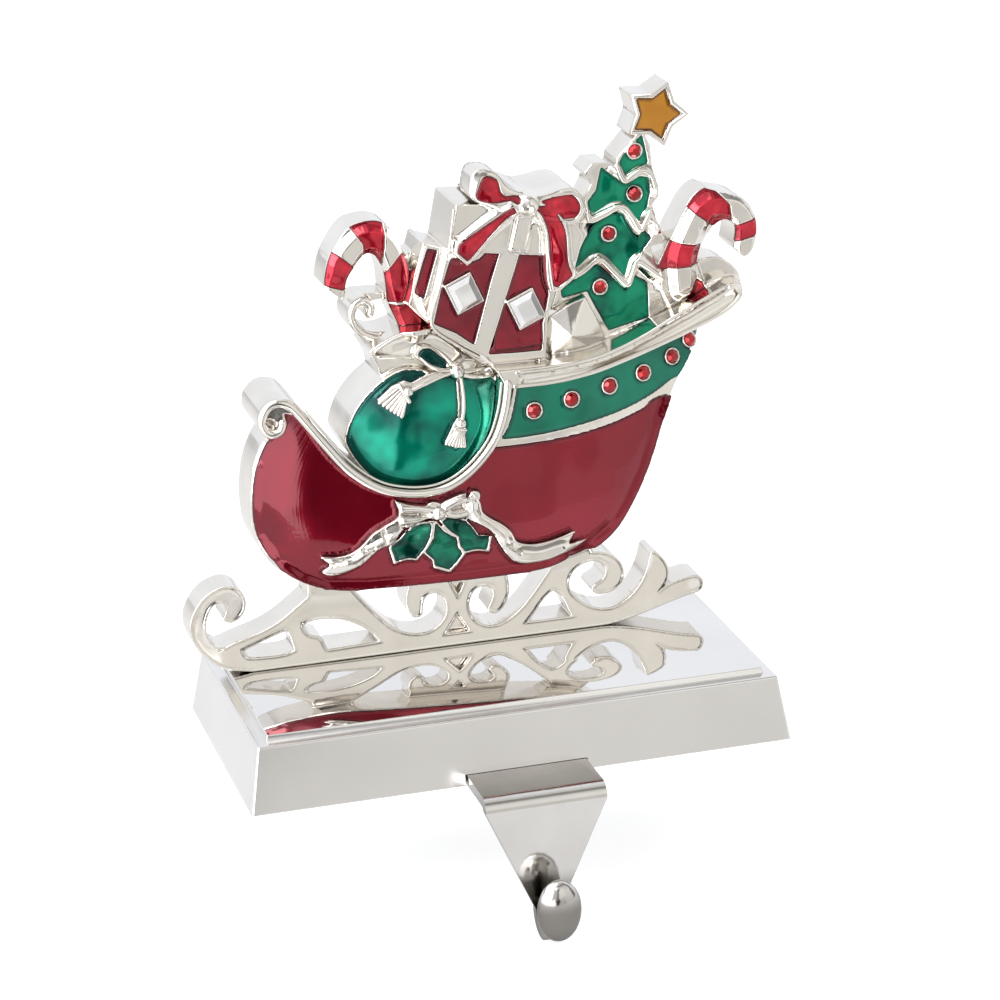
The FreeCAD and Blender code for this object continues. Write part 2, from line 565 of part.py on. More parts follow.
holly_leaves = [
    [(-24.9, 51.7), (-23.5, 47), [(-20.5, 47.9), (-17.7, 47.5)], (-16.2, 49.5), [(-14, 53.5), (-13.5, 58)],
     (-16.7, 58), [(-20.2, 56), (-22.2, 54)]],
    [(-13.7, 53.5), (-16.2, 49.5), (-13.7, 47), (-13.4, 45), (-9.2, 43.2), (-7.2, 45.3), (-5.4, 47.8),
     (-6.7, 50), (-7.2, 53), [(-10.2, 54.9), (-12.8, 58)], (-13.2, 58)],
    [[(-9.8, 55.2), (-7.2, 53)], (-6.7, 50), (-5.2, 48), [(-2, 48.4), (1, 47.7)], (1.7, 52), (-1.7, 52.5),
     (-3.2, 55), (-5.2, 57.5), (-10.2, 58.8), (-12.2, 58.2)],
]

# Gift box with its side, lid, ribbons and bow, and the plain parcel beside it.
gift_face = [(-6.4, 126.5), (18.4, 124), (19.8, 112), (18.8, 104), (18.3, 95.5), (2, 95.5), (-4, 100),
             (-11.6, 107.2)]
gift_side = [(-12, 127.6), (-6, 125.4), (-11, 107), (-16.6, 112.8)]
gift_left_cell = [(-5.7, 123.9), (-2.5, 123.4), (-1.3, 121.9), (1.7, 122.9), (5.2, 126.1), (7.2, 125.4),
                  (4.2, 116.4), (-0.3, 100.9), (-4.8, 104.4), (-10.5, 107.4), (-8.1, 116.9)]
gift_right_cell = [(12.1, 123.6), (17.7, 122.2), (18.3, 115.4), (19.2, 111.9), (18.2, 106.9),
                   (17.5, 104.7), (17.3, 97.6), (3.4, 98)]
gift_side_cell = [(-11, 126), (-8.4, 125.3), (-12.2, 113.2), (-14.6, 115.3)]
lid_edge = [(-4.7, 137.6), (-6.9, 126), (17.4, 122.6), (25, 116.8), (28, 126.9), (25, 131.5), (12, 136.5)]
lid_ribbon = [(8.8, 125), (13, 124.4), (14.6, 133.6), (10.8, 134)]
bow_loops = [
    [[(1, 147.2), (3.6, 146.3), (8, 141.8), (12, 139.9)], (12.4, 136),
     [(9, 134.3), (3, 136.5), (-1.2, 140)]],
    [[(19, 138.9), (25.4, 139), (27.7, 135.6), (26, 130.6)], (21.6, 130.4), [(18.6, 133.2), (14, 134.8)],
     (13.4, 138.9)],
]
bow_tails = [
    [(11, 134.6), [(4.4, 129.4), (0.2, 124.6), (-2.5, 122.4)], (-6, 125.8), (-5.4, 128.7), [(-1.7, 131.3),
     (4.3, 134.9), (9.5, 137.8)]],
    [[(15.4, 133), (17, 129.4), (17.6, 123.5), (18.6, 113.6)], (20.8, 113.2), (25.7, 117),
     [(24.1, 121.9), (23.7, 128.6), (21.5, 133.8), (17.2, 137.6)], (13.2, 136.8)],
]
bow_cells = [
    [[(1.4, 145.7), (3.2, 144.9), (6.9, 140.9), (10.6, 139)], (11.2, 136.9),
     [(9, 137.9), (7, 139.5), (3.8, 139.9), (0, 142)]],
    [[(18.9, 137.6), (24.5, 137.7), (26.2, 135.3), (25, 132)], (22.1, 132),
     [(19.9, 134.3), (15.4, 137.6)]],
    [(9.9, 134.9), [(3.7, 130.1), (-0.7, 125.4), (-2.5, 123.7)], (-5.1, 126.1), (-4.5, 127.9),
     [(-1.1, 130.3), (4.7, 133.7), (8.9, 136.5)]],
    [[(16.4, 133.5), (18, 129.7), (18.6, 123.7), (19.6, 115)], (20.6, 114.6), (24.4, 117.4),
     [(23, 121.7), (22.6, 128.3), (20.6, 132.9), (17, 136.2)], (14.2, 136)],
]
parcel_edge = [(18.6, 99.8), (20.6, 104.9), (25, 107.4), (30.2, 109), (32.6, 104.2), (35.2, 98.2),
               (32.8, 94.6), (26.8, 93.6), (21, 95)]
parcel_peak = (25.3, 100.3)

# Tree with garlands, star, and the two striped canes.
tree_edge = [
    (48.4, 145.5), (49, 139.6), (50.6, 132.3), (49, 130.2), (49.6, 126.6), (52.4, 121), (51.4, 120),
    (48.4, 119.4), (50.4, 113), (52, 109.5), (55, 102.6), (50, 96), (30, 93), (21, 97), (21.5, 104.5),
    (23.6, 111), (25.8, 113.4), (27, 117.5), (29.6, 123.5), (29.8, 127.4), (31.4, 130.5), (31, 133.5),
    (33, 137.4), (31, 140), (33.2, 142.4), (37.2, 142.2), (39.2, 140.4), (39.6, 143), (43.4, 147.2),
    (46.3, 149.8),
]
tree_cells = [
    [(47.4, 143.5), (47.8, 140.9), (45.6, 140.6), (41.6, 138.6), (40.2, 141.8), (41.6, 144.2),
     (43.6, 146.3), (46.3, 148.4)],
    [(35.5, 141.3), (38.6, 138.4), (41.6, 136.2), (45, 138), (47.6, 137.8), (48.2, 133.5), (47.5, 129.5),
     (45.4, 125.4), (41.2, 131.5), (38.5, 131.3), (32.6, 129), (31.9, 132.6), (34.2, 135.5)],
    [(33.4, 126.6), (38, 129), (40.8, 128.8), (44, 123), (45.2, 122), (46.6, 123.8), (48.6, 121.6),
     (46.3, 118.6), (44.3, 116.6), (41.7, 111.5), (34.4, 118.8), (28.5, 115), (28.4, 117.5),
     (30.8, 122.5)],
    [(28.7, 113.2), (34.2, 116.2), (38.5, 112.2), (41.8, 108.5), (43.6, 112.6), (47.6, 110), (47.9, 101),
     (41, 99.5), (37.2, 98.6), (33.8, 105), (31.5, 109.6), (25, 108.4), (24.6, 110.8)],
]
tree_stones = [(44.2, 144.6), (44.2, 133.6), (37.3, 124), (34.9, 110.4)]
star_middle = (50, 153.4)
star_turn = 68
cane_right = [
    (51.2, 108), (50.4, 114.4),
    [(53.4, 120.7), (57.6, 128.5), (60, 131.7), (62.8, 133.4)],
    [(67.3, 132), (72.1, 130.4), (75.4, 126.6), (76.4, 120.9), (75.2, 116.9), (72.8, 114.7)],
    (70.1, 117.6),
    [(70.7, 120.6), (70.4, 123.2), (68.6, 124.6), (66.4, 124.2), (63.6, 121.6), (61.7, 118.4),
     (60.6, 113.8)],
    (62.4, 108.5), (64, 103), (54, 102),
]
cane_right_cells = [
    [(57.6, 103), (58.4, 107.4), (60.6, 110), (64.5, 107.4), (65, 103)],
    [(48, 114.6), (51.6, 113.4), (63, 114), (64, 118.4), (54.6, 120.2), (50, 122.4)],
    [(56, 131), (59.8, 127.2), (66, 122.5), (69.6, 124), (68.8, 129), (66.4, 131.6), (63, 135)],
    [(69.6, 118.7), (69.6, 122.9), (77.5, 125.2), (78, 120.6)],
]
rear_end = [[(60.4, 113.4), (63.8, 115.1), (67.2, 114.5), (70.9, 111.8), (72.9, 107.8)], (72, 104.6),
            (66, 102.6), (57, 99), (58, 108)]
cane_left = [
    [(-31.3, 116.5), (-30.6, 119.6), (-28.6, 122.2), (-26.4, 124.8), (-24.2, 125), (-22.4, 123),
     (-21.2, 119.5), (-20.5, 112.2)],
    (-17, 104), (-9.5, 104), (-13.2, 112.5),
    [(-14.1, 118), (-15.6, 122.8), (-17, 127), (-18.8, 130.8), (-22, 133), (-26, 133.2), (-29.8, 132),
     (-32.6, 128.8), (-34.8, 125), (-36.5, 118)],
    (-31.7, 113.9),
]
cane_left_cells = [
    [(-38, 118.9), (-30, 116.2), (-29.6, 119.8), (-28.2, 121.8), (-32.2, 125.3), (-36, 127.6)],
    [(-30.4, 134), (-26.6, 128), (-26.4, 124), (-22, 121.5), (-21.2, 126.5), (-20.9, 130.5), (-21.4, 135)],
    [(-22, 119), (-17.3, 124.5), (-14, 124.5), (-12, 117.5), (-12.6, 112.4), (-21.5, 112.4)],
    [(-21.5, 111.8), (-12.5, 111.6), (-8.6, 105), (-17.8, 104.8)],
]
cane_backing = [(-15, 123.6), (-8, 124), (-8, 104), (-16, 106)]
tissue = [(50.6, 113.2), (60.3, 113), (61, 103), (52, 98), (49.6, 106)]


# A five-pointed star whose waist is a share of its radius.
def star(radius):
    spots = []
    for number in range(10):
        reach = radius if number % 2 == 0 else radius * size("star_waist")
        angle = math.radians(star_turn + 36 * number)
        across = reach * math.cos(angle) / unit
        up = reach * math.sin(angle) / unit
        spots.append((star_middle[0] + across, star_middle[1] + up))
    return spots


hull_centre = (2, 64)
hull_half = (80, 60)
rim_half = (120, 100)
sack_centre = (-14, 79)
sack_half = (30, 28)
deep = "Sizes.figure_back + Sizes.crown_thickness"


def hull_crown(name, rise="0"):
    return crown(name, *hull_centre, *hull_half, f"Sizes.crown_thickness + {rise}")


def sack_crown(name, rise="0"):
    return crown(name, *sack_centre, *sack_half, f"Sizes.sack_thickness + {rise}")


def domed(name, outlines, limit):
    return common(name, slab(name + "_slab", outlines, deep), limit)


# Relief that stands on the hull or the sack. Each tool is a straight prism that the enamel stops at.
lip = domed("lip", [lip_band], crown("lip_crown", *hull_centre, *rim_half, "Sizes.rim_thickness"))
rim = domed("rim", [rim_band], crown("rim_crown", *hull_centre, *rim_half, "Sizes.rim_thickness"))
bow_parts = [hull_bow, ribbon_left, ribbon_right]
ribbons = [domed(f"hull_ribbon_{number}", [outline],
                 hull_crown(f"ribbon_crown_{number}", "Sizes.ribbon_rise"))
           for number, outline in enumerate(bow_parts, 1)]
leaves = [domed(f"holly_leaf_{number}", [outline], hull_crown(f"leaf_crown_{number}", "Sizes.leaf_rise"))
          for number, outline in enumerate(holly_leaves, 1)]
hull_stops = [slab(f"hull_stop_{number}", [outline], deep)
              for number, outline in enumerate([lip_band, rim_band] + bow_parts + holly_leaves, 1)]
knot_parts = [tassel_left, tassel_right, cord_left, cord_right]
knots = [domed(f"sack_cord_{number}", [outline], sack_crown(f"cord_crown_{number}", "Sizes.cord_rise"))
         for number, outline in enumerate(knot_parts, 1)]
knot_ball = doc.addObject("Part::Ellipsoid", "sack_knot")
bind(knot_ball, Radius1="2.2 * Sizes.drawing_unit", Radius2="2 * Sizes.drawing_unit",
     Radius3="Sizes.cord_rise + 1.2")
move(knot_ball, "-5.4 * Sizes.drawing_unit", "Sizes.figure_back - Sizes.sack_thickness * 0.82",
     f"{datum} + 95.3 * Sizes.drawing_unit")
ear = slab("sack_ear", [scaled(sack_ear, 1.3)], "Sizes.back_lip_thickness + 1")
sack_stops = [slab(f"sack_stop_{number}", [outline], deep)
              for number, outline in enumerate([lip_band] + knot_parts, 1)]

# Pockets and their enamel. The enamel fills each pocket and is flush with the metal round it.


def domed_cell(name, outline, body_solid, floor, stops):
    prism = cut(f"{name}_prism", slab(f"{name}_slab", [outline], deep), floor)
    pocket = cut(f"{name}_pocket", prism, fuse(f"{name}_stops", *stops)) if stops else prism
    return pocket, common(f"{name}_fill", pocket, body_solid)


def flat_cells(name, outlines, thickness, depth):
    prism = slab(f"{name}_prism", outlines, thickness)
    floor = slab(f"{name}_floor", outlines, f"{thickness} - {depth}")
    return cut(f"{name}_cells", prism, floor)


hull_solid = domed("hull_solid", [hull_edge], hull_crown("hull_crown"))
red_floor = hull_crown("red_floor", "-Sizes.enamel_thickness")
red_pocket, red_fill = domed_cell("hull_red", red_cell, hull_solid, red_floor, hull_stops)
stone_spots = [(13.8, 83.3), (23.9, 84.9), (34.4, 86.8), (44, 88.6), (52.6, 91.2), (58.2, 94.3)]


# Where a point of the drawing lies on the hull's dome, and which way the dome faces there.
def on_hull(x, z):
    across = (x - hull_centre[0]) / hull_half[0]
    up = (z - hull_centre[1]) / hull_half[1]
    height = size("crown_thickness") * math.sqrt(1 - across * across - up * up)
    spot = Vector(x * unit, size("figure_back") - height,
                  size("base_height") + size("panel_height") + (z - size("sole_line")) * unit)
    facing = Vector(across / (hull_half[0] * unit), -height / size("crown_thickness") ** 2,
                    up / (hull_half[1] * unit))
    return Placement(spot, Rotation(Vector(0, 0, 1), facing))


def on_tree(x, z):
    spot = Vector(x * unit, size("figure_back") - size("tree_thickness"),
                  size("base_height") + size("panel_height") + (z - size("sole_line")) * unit)
    return Placement(spot, facing_front)


# A round stone in a collar: the collar's solid, the bore it leaves, and the faceted stone.
def round_stone(name, place, radius):
    collar = doc.addObject("Part::Cylinder", f"{name}_collar")
    collar.Radius = radius + size("collar_wall")
    collar.Height = 2 + size("collar_rise")
    collar.Placement = place * Placement(Vector(0, 0, -2), Rotation())
    bore = doc.addObject("Part::Cylinder", f"{name}_bore")
    bore.Radius = radius
    bore.Height = size("stone_seat") + 3
    bore.Placement = place * Placement(Vector(0, 0, size("collar_rise") - size("stone_seat")), Rotation())
    rings = []
    seat = size("collar_rise") - size("stone_seat")
    levels = [(seat, radius), (seat + size("stone_girdle"), radius),
              (seat + size("stone_girdle") + size("stone_crown"), radius * size("stone_table"))]
    for number, (level, reach) in enumerate(levels):
        ring = doc.addObject("Part::RegularPolygon", f"{name}_ring_{number}")
        ring.Polygon = 8
        ring.Circumradius = reach
        ring.Placement = place * Placement(Vector(0, 0, level), Rotation())
        rings.append(ring)
    stone = doc.addObject("Part::Loft", name)
    stone.Sections = rings
    stone.Solid = True
    stone.Ruled = True
    return collar, bore, stone


band_sets = [round_stone(f"band_stone_{number}", on_hull(x, z), size("band_stone_radius"))
             for number, (x, z) in enumerate(stone_spots, 1)]
tree_sets = [round_stone(f"tree_stone_{number}", on_tree(x, z), size("tree_stone_radius"))
             for number, (x, z) in enumerate(tree_stones, 1)]

band_stops = [slab("band_rim_stop", [rim_band], deep)] + [collar for collar, bore, stone in band_sets]
band_pocket, band_fill = domed_cell("band_green", band_cell, hull_solid,
                                    hull_crown("band_floor", "-Sizes.enamel_thickness"), band_stops)
leaf_pockets = []
leaf_fills = []
leaf_stops = [slab(f"leaf_stop_{number}", [outline], deep) for number, outline in enumerate(bow_parts, 1)]
for number, outline in enumerate(holly_leaves, 1):
    pocket, filled = domed_cell(f"holly_{number}", scaled(outline, 0.88), leaves[number - 1],
                                hull_crown(f"holly_floor_{number}", "(Sizes.leaf_rise - Sizes.thin_enamel)"),
                                leaf_stops)
    leaf_pockets.append(pocket)
    leaf_fills.append(filled)

sack_solid = domed("sack_solid", [scaled(sack_edge, 1.03)], sack_crown("sack_crown"))
sack_pocket, sack_fill = domed_cell("sack_green", sack_edge, sack_solid,
                                    sack_crown("sack_floor", "-Sizes.enamel_thickness"), sack_stops)
ear_fill = flat_cells("ear_green", [sack_ear], "(Sizes.back_lip_thickness + 1)", "Sizes.thin_enamel")

# Square step-cut crystals in thin bezels on the gift's face.
crystal_spots = [(-2.8, 114.6), (13.1, 109)]


def crystal_frame(x, z):
    spot = Vector(x * unit, size("figure_back") - size("gift_thickness"),
                  size("base_height") + size("panel_height") + (z - size("sole_line")) * unit)
    return Placement(spot, facing_front * Rotation(Vector(0, 0, 1), size("crystal_turn")))


def centred_block(name, place, length, width, low, high):
    item = doc.addObject("Part::Box", name)
    item.Length = length
    item.Width = width
    item.Height = high - low
    item.Placement = place * Placement(Vector(-length / 2, -width / 2, low), Rotation())
    return item


def rectangle(name, place, length, width, level):
    item = doc.addObject("Part::Plane", name)
    item.Length = length
    item.Width = width
    item.Placement = place * Placement(Vector(-length / 2, -width / 2, level), Rotation())
    return item


def crystal(name, place):
    wide = size("crystal_width")
    long = size("crystal_length")
    edge = 2 * size("crystal_bezel")
    seat = size("crystal_rise") - size("crystal_seat")
    slope = 2 * size("crystal_slope")
    bezel = centred_block(f"{name}_bezel", place, wide + edge, long + edge, -2, size("crystal_rise"))
    bore = centred_block(f"{name}_bore", place, wide, long, seat, seat + 4)
    girdle = seat + size("crystal_girdle")
    levels = [(seat, 0), (girdle, 0), (girdle + size("crystal_crown"), slope)]
    sections = [rectangle(f"{name}_section_{number}", place, wide - less, long - less, level)
                for number, (level, less) in enumerate(levels)]
    stone = doc.addObject("Part::Loft", name)
    stone.Sections = sections
    stone.Solid = True
    stone.Ruled = True
    return bezel, bore, stone


crystal_sets = [crystal(f"crystal_{number}", crystal_frame(x, z))
                for number, (x, z) in enumerate(crystal_spots, 1)]
bezels = [bezel for bezel, bore, stone in crystal_sets]
box_cells = flat_cells("gift_red", [gift_left_cell, gift_right_cell], "Sizes.gift_thickness",
                       "Sizes.thin_enamel")
bow_stop = slab("gift_bow_stop", bow_tails[:1], deep)
tail_stop = slab("gift_tail_stop", bow_tails[1:], deep)
lid_stop = slab("gift_lid_stop", [lid_edge], deep)
box_stop = fuse("gift_stops", bow_stop, tail_stop, lid_stop, *bezels)
box_fill = cut("gift_red_clear", box_cells, box_stop)
side_cells = flat_cells("gift_side_red", [gift_side_cell], "Sizes.gift_side_thickness", "Sizes.thin_enamel")
side_fill = cut("gift_side_clear", side_cells, slab("gift_side_stop", [gift_face], deep))
bow_fill = flat_cells("gift_bow_red", bow_cells[:2], "Sizes.gift_bow_thickness", "Sizes.thin_enamel")
tail_fill = flat_cells("gift_tail_red", bow_cells[2:], "Sizes.gift_bow_thickness", "Sizes.thin_enamel")
gift_knot = slab("gift_knot", [[[(10.6, 137), (12.9, 139.2), (15.2, 137.2), (13, 134.6)]]],
                 "Sizes.gift_bow_thickness + 0.8")
bow_clear = cut("gift_bow_clear", fuse("gift_bow_all", bow_fill, tail_fill), gift_knot)

tree_prisms = [flat_cells(f"tree_green_{number}", [outline], "Sizes.tree_thickness", "Sizes.thin_enamel")
               for number, outline in enumerate(tree_cells, 1)]
tree_clear = cut("tree_green_clear", fuse("tree_green_all", *tree_prisms),
                 fuse("tree_stops", *([collar for collar, bore, stone in tree_sets]
                                      + [slab("tree_parcel_stop", [parcel_edge], deep),
                                         slab("tree_rim_stop", [rim_band], deep),
                                         slab("tree_lid_stop", [lid_edge], deep)])))
star_fill = flat_cells("star_amber", [star(size("star_enamel_radius"))], "Sizes.star_thickness",
                       "Sizes.thin_enamel")
cane_right_slab = slab("cane_right", [cane_right], "Sizes.cane_thickness")
cane_left_slab = slab("cane_left", [cane_left], "Sizes.cane_thickness")
cane_right_raw = flat_cells("cane_right_red", cane_right_cells, "Sizes.cane_thickness", "Sizes.thin_enamel")
cane_right_fill = cut("cane_right_clear", common("cane_right_trim", cane_right_raw, cane_right_slab),
                      slab("cane_rim_stop", [rim_band], deep))
cane_left_raw = flat_cells("cane_left_red", cane_left_cells, "Sizes.cane_thickness", "Sizes.thin_enamel")
cane_left_clear = cut("cane_left_clear", common("cane_left_trim", cane_left_raw, cane_left_slab),
                      fuse("cane_left_stops", slab("cane_wall_stop", [inner_wall], deep),
                           slab("cane_gift_stop", [gift_side], deep),
                           slab("cane_lip_stop", [back_lip], deep)))


# The parcel is a slab with a shallow peak, so that its face breaks into plain facets.
def peaked(name, outline, peak, thickness, rise):
    back = size("figure_back")
    level = back - size(thickness)
    lift = size("base_height") + size("panel_height") - size("sole_line") * unit
    spots = [(x * unit, z * unit + lift) for x, z in outline]
    tip = Vector(peak[0] * unit, level - size(rise), peak[1] * unit + lift)
    faces = [Part.Face(Part.makePolygon([Vector(x, back, z) for x, z in spots + spots[:1]]))]
    for (x1, z1), (x2, z2) in zip(spots, spots[1:] + spots[:1]):
        low = [Vector(x1, back, z1), Vector(x2, back, z2), Vector(x2, level, z2), Vector(x1, level, z1)]
        faces.append(Part.Face(Part.makePolygon(low + low[:1])))
        faces.append(Part.Face(Part.makePolygon([Vector(x1, level, z1), Vector(x2, level, z2), tip,
                                                 Vector(x1, level, z1)])))
    shell = Part.makeShell(faces)
    shell.sewShape()
    solid = Part.Solid(shell)
    if solid.Volume < 0:
        solid.reverse()
    item = doc.addObject("Part::Feature", name)
    item.Shape = solid
    return item


parcel = peaked("parcel", parcel_edge, parcel_peak, "parcel_thickness", "parcel_peak")

# The sleigh is one casting: every raised form is fused, then the pockets and bores are cut.
runner = slab("runner", [runner_edge] + runner_gaps, "Sizes.runner_thickness")
recess_top = slab("recess_top", runner_recesses, "Sizes.runner_thickness + 1")
recess_low = slab("recess_low", runner_recesses, "Sizes.runner_thickness - Sizes.blind_recess")
recesses = cut("recesses", recess_top, recess_low)
flat_forms = [
    slab("inner_wall", [inner_wall], "Sizes.inner_wall_thickness"),
    slab("back_lip", [back_lip], "Sizes.back_lip_thickness"),
    slab("back_curl", [back_curl], "Sizes.back_curl_thickness"),
    slab("curl_bridge", [curl_bridge], "Sizes.backing_thickness"),
    slab("gift_face", [gift_face], "Sizes.gift_thickness"),
    slab("gift_side", [gift_side], "Sizes.gift_side_thickness"),
    slab("gift_lid", [lid_edge], "Sizes.lid_thickness"),
    slab("gift_lid_ribbon", [lid_ribbon], "Sizes.lid_thickness + Sizes.lid_ribbon_rise"),
    slab("tree", [tree_edge], "Sizes.tree_thickness"),
    slab("star", [star(size("star_radius"))], "Sizes.star_thickness"),
    slab("rear_end", [rear_end], "Sizes.back_curl_thickness - 1"),
    cane_right_slab,
    cane_left_slab,
    slab("cane_backing", [cane_backing], "Sizes.backing_thickness"),
    slab("tissue", [tissue], "Sizes.backing_thickness"),
]
gift_bow = [slab(f"gift_bow_{number}", [outline], "Sizes.gift_bow_thickness")
            for number, outline in enumerate(bow_loops + bow_tails, 1)]
hull_cut = cut("hull_cut", hull_solid, fuse("hull_pockets", red_pocket, band_pocket))
sack_cut = cut("sack_cut", sack_solid, sack_pocket)
leaf_cuts = [cut(f"holly_cut_{number}", leaf, leaf_pockets[number - 1])
             for number, leaf in enumerate(leaves, 1)]
low_relief = ribbons + leaf_cuts + knots + [knot_ball, ear]
low_group = fuse("low_group", runner, hull_cut, sack_cut, lip, rim, *low_relief)
high_group = fuse("high_group", parcel, gift_knot, *(flat_forms + gift_bow + bezels))
mounts = fuse("mounts", *(pegs + [collar for collar, bore, stone in band_sets + tree_sets]))
casting = fuse("casting", low_group, high_group, mounts)
inlays = [box_fill, side_fill, bow_clear, tree_clear, star_fill, cane_right_fill, cane_left_clear, ear_fill,
          red_fill, band_fill, sack_fill] + leaf_fills
bores = [bore for collar, bore, stone in band_sets + tree_sets + crystal_sets]
casting_cuts = fuse("casting_cuts", *(inlays + bores + peg_bores + [recesses]))
sleigh_figure = cut("sleigh_figure", casting, casting_cuts)

nodes = {
    "base_shell": base_shell,
    "base_weight": base_weight,
    "weight_screws": compound("weight_screws", weight_screws),
    "base_pad": base_pad,
    "hook": hook,
    "hook_screws": compound("hook_screws", hook_screws),
    "figure_screws": compound("figure_screws", figure_screws),
    "sleigh_figure": sleigh_figure,
    "hull_enamel": compound("hull_enamel", [red_fill]),
    "band_enamel": compound("band_enamel", [band_fill]),
    "holly_enamel": compound("holly_enamel", leaf_fills),
    "sack_enamel": compound("sack_enamel", [sack_fill, ear_fill]),
    "gift_enamel": compound("gift_enamel", [box_fill, side_fill]),
    "gift_bow_enamel": compound("gift_bow_enamel", [bow_clear]),
    "tree_enamel": compound("tree_enamel", [tree_clear]),
    "star_enamel": compound("star_enamel", [star_fill]),
    "cane_left_enamel": compound("cane_left_enamel", [cane_left_clear]),
    "cane_right_enamel": compound("cane_right_enamel", [cane_right_fill]),
    "band_stones": compound("band_stones", [stone for collar, bore, stone in band_sets]),
    "tree_stones": compound("tree_stones", [stone for collar, bore, stone in tree_sets]),
    "gift_crystals": compound("gift_crystals", [stone for bezel, bore, stone in crystal_sets]),
}
doc.recompute()

for item in doc.Objects:
    if "Invalid" in item.State or "Error" in item.State:
        raise RuntimeError(f"{item.Name} failed: {item.State}")
for name, item in nodes.items():
    item.Label = name
    if item.Shape.isNull() or not item.Shape.isValid():
        raise RuntimeError(f"{name} has no valid shape")

os.makedirs("parts", exist_ok=True)
for name, item in nodes.items():
    item.Shape.exportStep(f"parts/{name}.step")
    print(name, len(item.Shape.Solids), "solids", round(item.Shape.Volume, 1), "mm3")
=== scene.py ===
import math

import bmesh
import bpy
import numpy
from mathutils import Matrix, Vector
from mathutils.kdtree import KDTree


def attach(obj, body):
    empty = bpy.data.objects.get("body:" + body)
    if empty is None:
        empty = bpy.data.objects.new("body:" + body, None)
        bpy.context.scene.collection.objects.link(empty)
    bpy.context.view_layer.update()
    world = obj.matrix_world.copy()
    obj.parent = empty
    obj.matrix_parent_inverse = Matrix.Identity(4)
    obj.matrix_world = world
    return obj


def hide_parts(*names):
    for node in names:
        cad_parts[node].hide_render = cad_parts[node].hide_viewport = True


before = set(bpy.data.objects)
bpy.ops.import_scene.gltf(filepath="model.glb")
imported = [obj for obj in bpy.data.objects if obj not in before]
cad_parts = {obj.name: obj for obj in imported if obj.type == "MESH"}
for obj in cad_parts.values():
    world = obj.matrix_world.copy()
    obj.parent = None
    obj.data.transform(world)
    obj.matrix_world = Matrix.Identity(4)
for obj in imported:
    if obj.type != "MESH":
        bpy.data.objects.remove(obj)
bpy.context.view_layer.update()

mm = 0.001

# The sleigh's drawing is in millimetres: x across, z up from the runner's sole line. The domes are half
# ellipsoids: middle x and z, half width, half height, thickness. Strokes fade out near the back.
drawing = {
    "back": 20.0,
    "lift": 0.4,
    "hull": (2.0, 64.0, 80.0, 60.0, 22.0),
    "rim": (2.0, 64.0, 120.0, 100.0, 22.9),
    "sack": (-14.0, 79.0, 30.0, 28.0, 23.0),
    "fade": 9.0,
}


def newMaterial(name, rough=0.2):
    material = bpy.data.materials.new(name)
    material.use_nodes = True
    shader = material.node_tree.nodes["Principled BSDF"]
    shader.inputs["Roughness"].default_value = rough
    return material, shader


def addNode(material, kind, **values):
    node = material.node_tree.nodes.new(kind)
    for key, value in values.items():
        if key in node.inputs:
            node.inputs[key].default_value = value
        else:
            setattr(node, key, value)
    return node


def wire(material, source, target):
    material.node_tree.links.new(source, target)


def noiseOn(material, scale, detail=2.0, rough=0.5):
    place = addNode(material, "ShaderNodeTexCoord")
    noise = addNode(material, "ShaderNodeTexNoise", Scale=scale, Detail=detail, Roughness=rough)
    wire(material, place.outputs["Object"], noise.inputs["Vector"])
    return noise.outputs["Fac"]


def heightOn(material):
    place = addNode(material, "ShaderNodeTexCoord")
    split = addNode(material, "ShaderNodeSeparateXYZ")
    wire(material, place.outputs["Object"], split.inputs["Vector"])
    return split.outputs["Z"]


# Two colours and the values of the source at which each is reached.
def rampOf(material, source, stops):
    ramp = addNode(material, "ShaderNodeValToRGB")
    for element, (spot, colour) in zip(ramp.color_ramp.elements, stops):
        element.position = spot
        element.color = (*colour, 1)
    wire(material, source, ramp.inputs["Fac"])
    return ramp.outputs["Color"]


# Goes from first to last while the source goes from low to high.
def rangeOf(material, source, low, high, first=0.0, last=1.0, kind="SMOOTHSTEP"):
    ends = {"From Min": low, "From Max": high, "To Min": first, "To Max": last}
    share = addNode(material, "ShaderNodeMapRange", interpolation_type=kind, **ends)
    wire(material, source, share.inputs["Value"])
    return share.outputs["Result"]


def multiplied(material, first, second):
    mix = addNode(material, "ShaderNodeMix", data_type="RGBA", blend_type="MULTIPLY", Factor=1.0)
    wire(material, first, mix.inputs["A"])
    wire(material, second, mix.inputs["B"])
    return mix.outputs["Result"]


def bumpFrom(material, shader, source, strength, distance):
    bump = addNode(material, "ShaderNodeBump", Strength=strength, Distance=distance)
    wire(material, source, bump.inputs["Height"])
    wire(material, bump.outputs["Normal"], shader.inputs["Normal"])
    return bump


white = (1.0, 1.0, 1.0)
nickel = {"cloud": 90.0, "shadeAt": 0.3, "tintAt": 0.7, "hollowAt": 0.15, "noShadeAt": 0.72,
          "polishedAt": 0.35, "dullAt": 0.75, "grain": 420.0, "grainStrength": 0.05, "grainDepth": 0.0004}
# The hollow colour in each look is the painted shade in its hollows.
castingLook = {"tint": (0.86, 0.825, 0.77), "shade": (0.78, 0.745, 0.69), "hollow": (0.36, 0.325, 0.29),
               "reach": 0.0018, "polished": 0.10, "dull": 0.20}
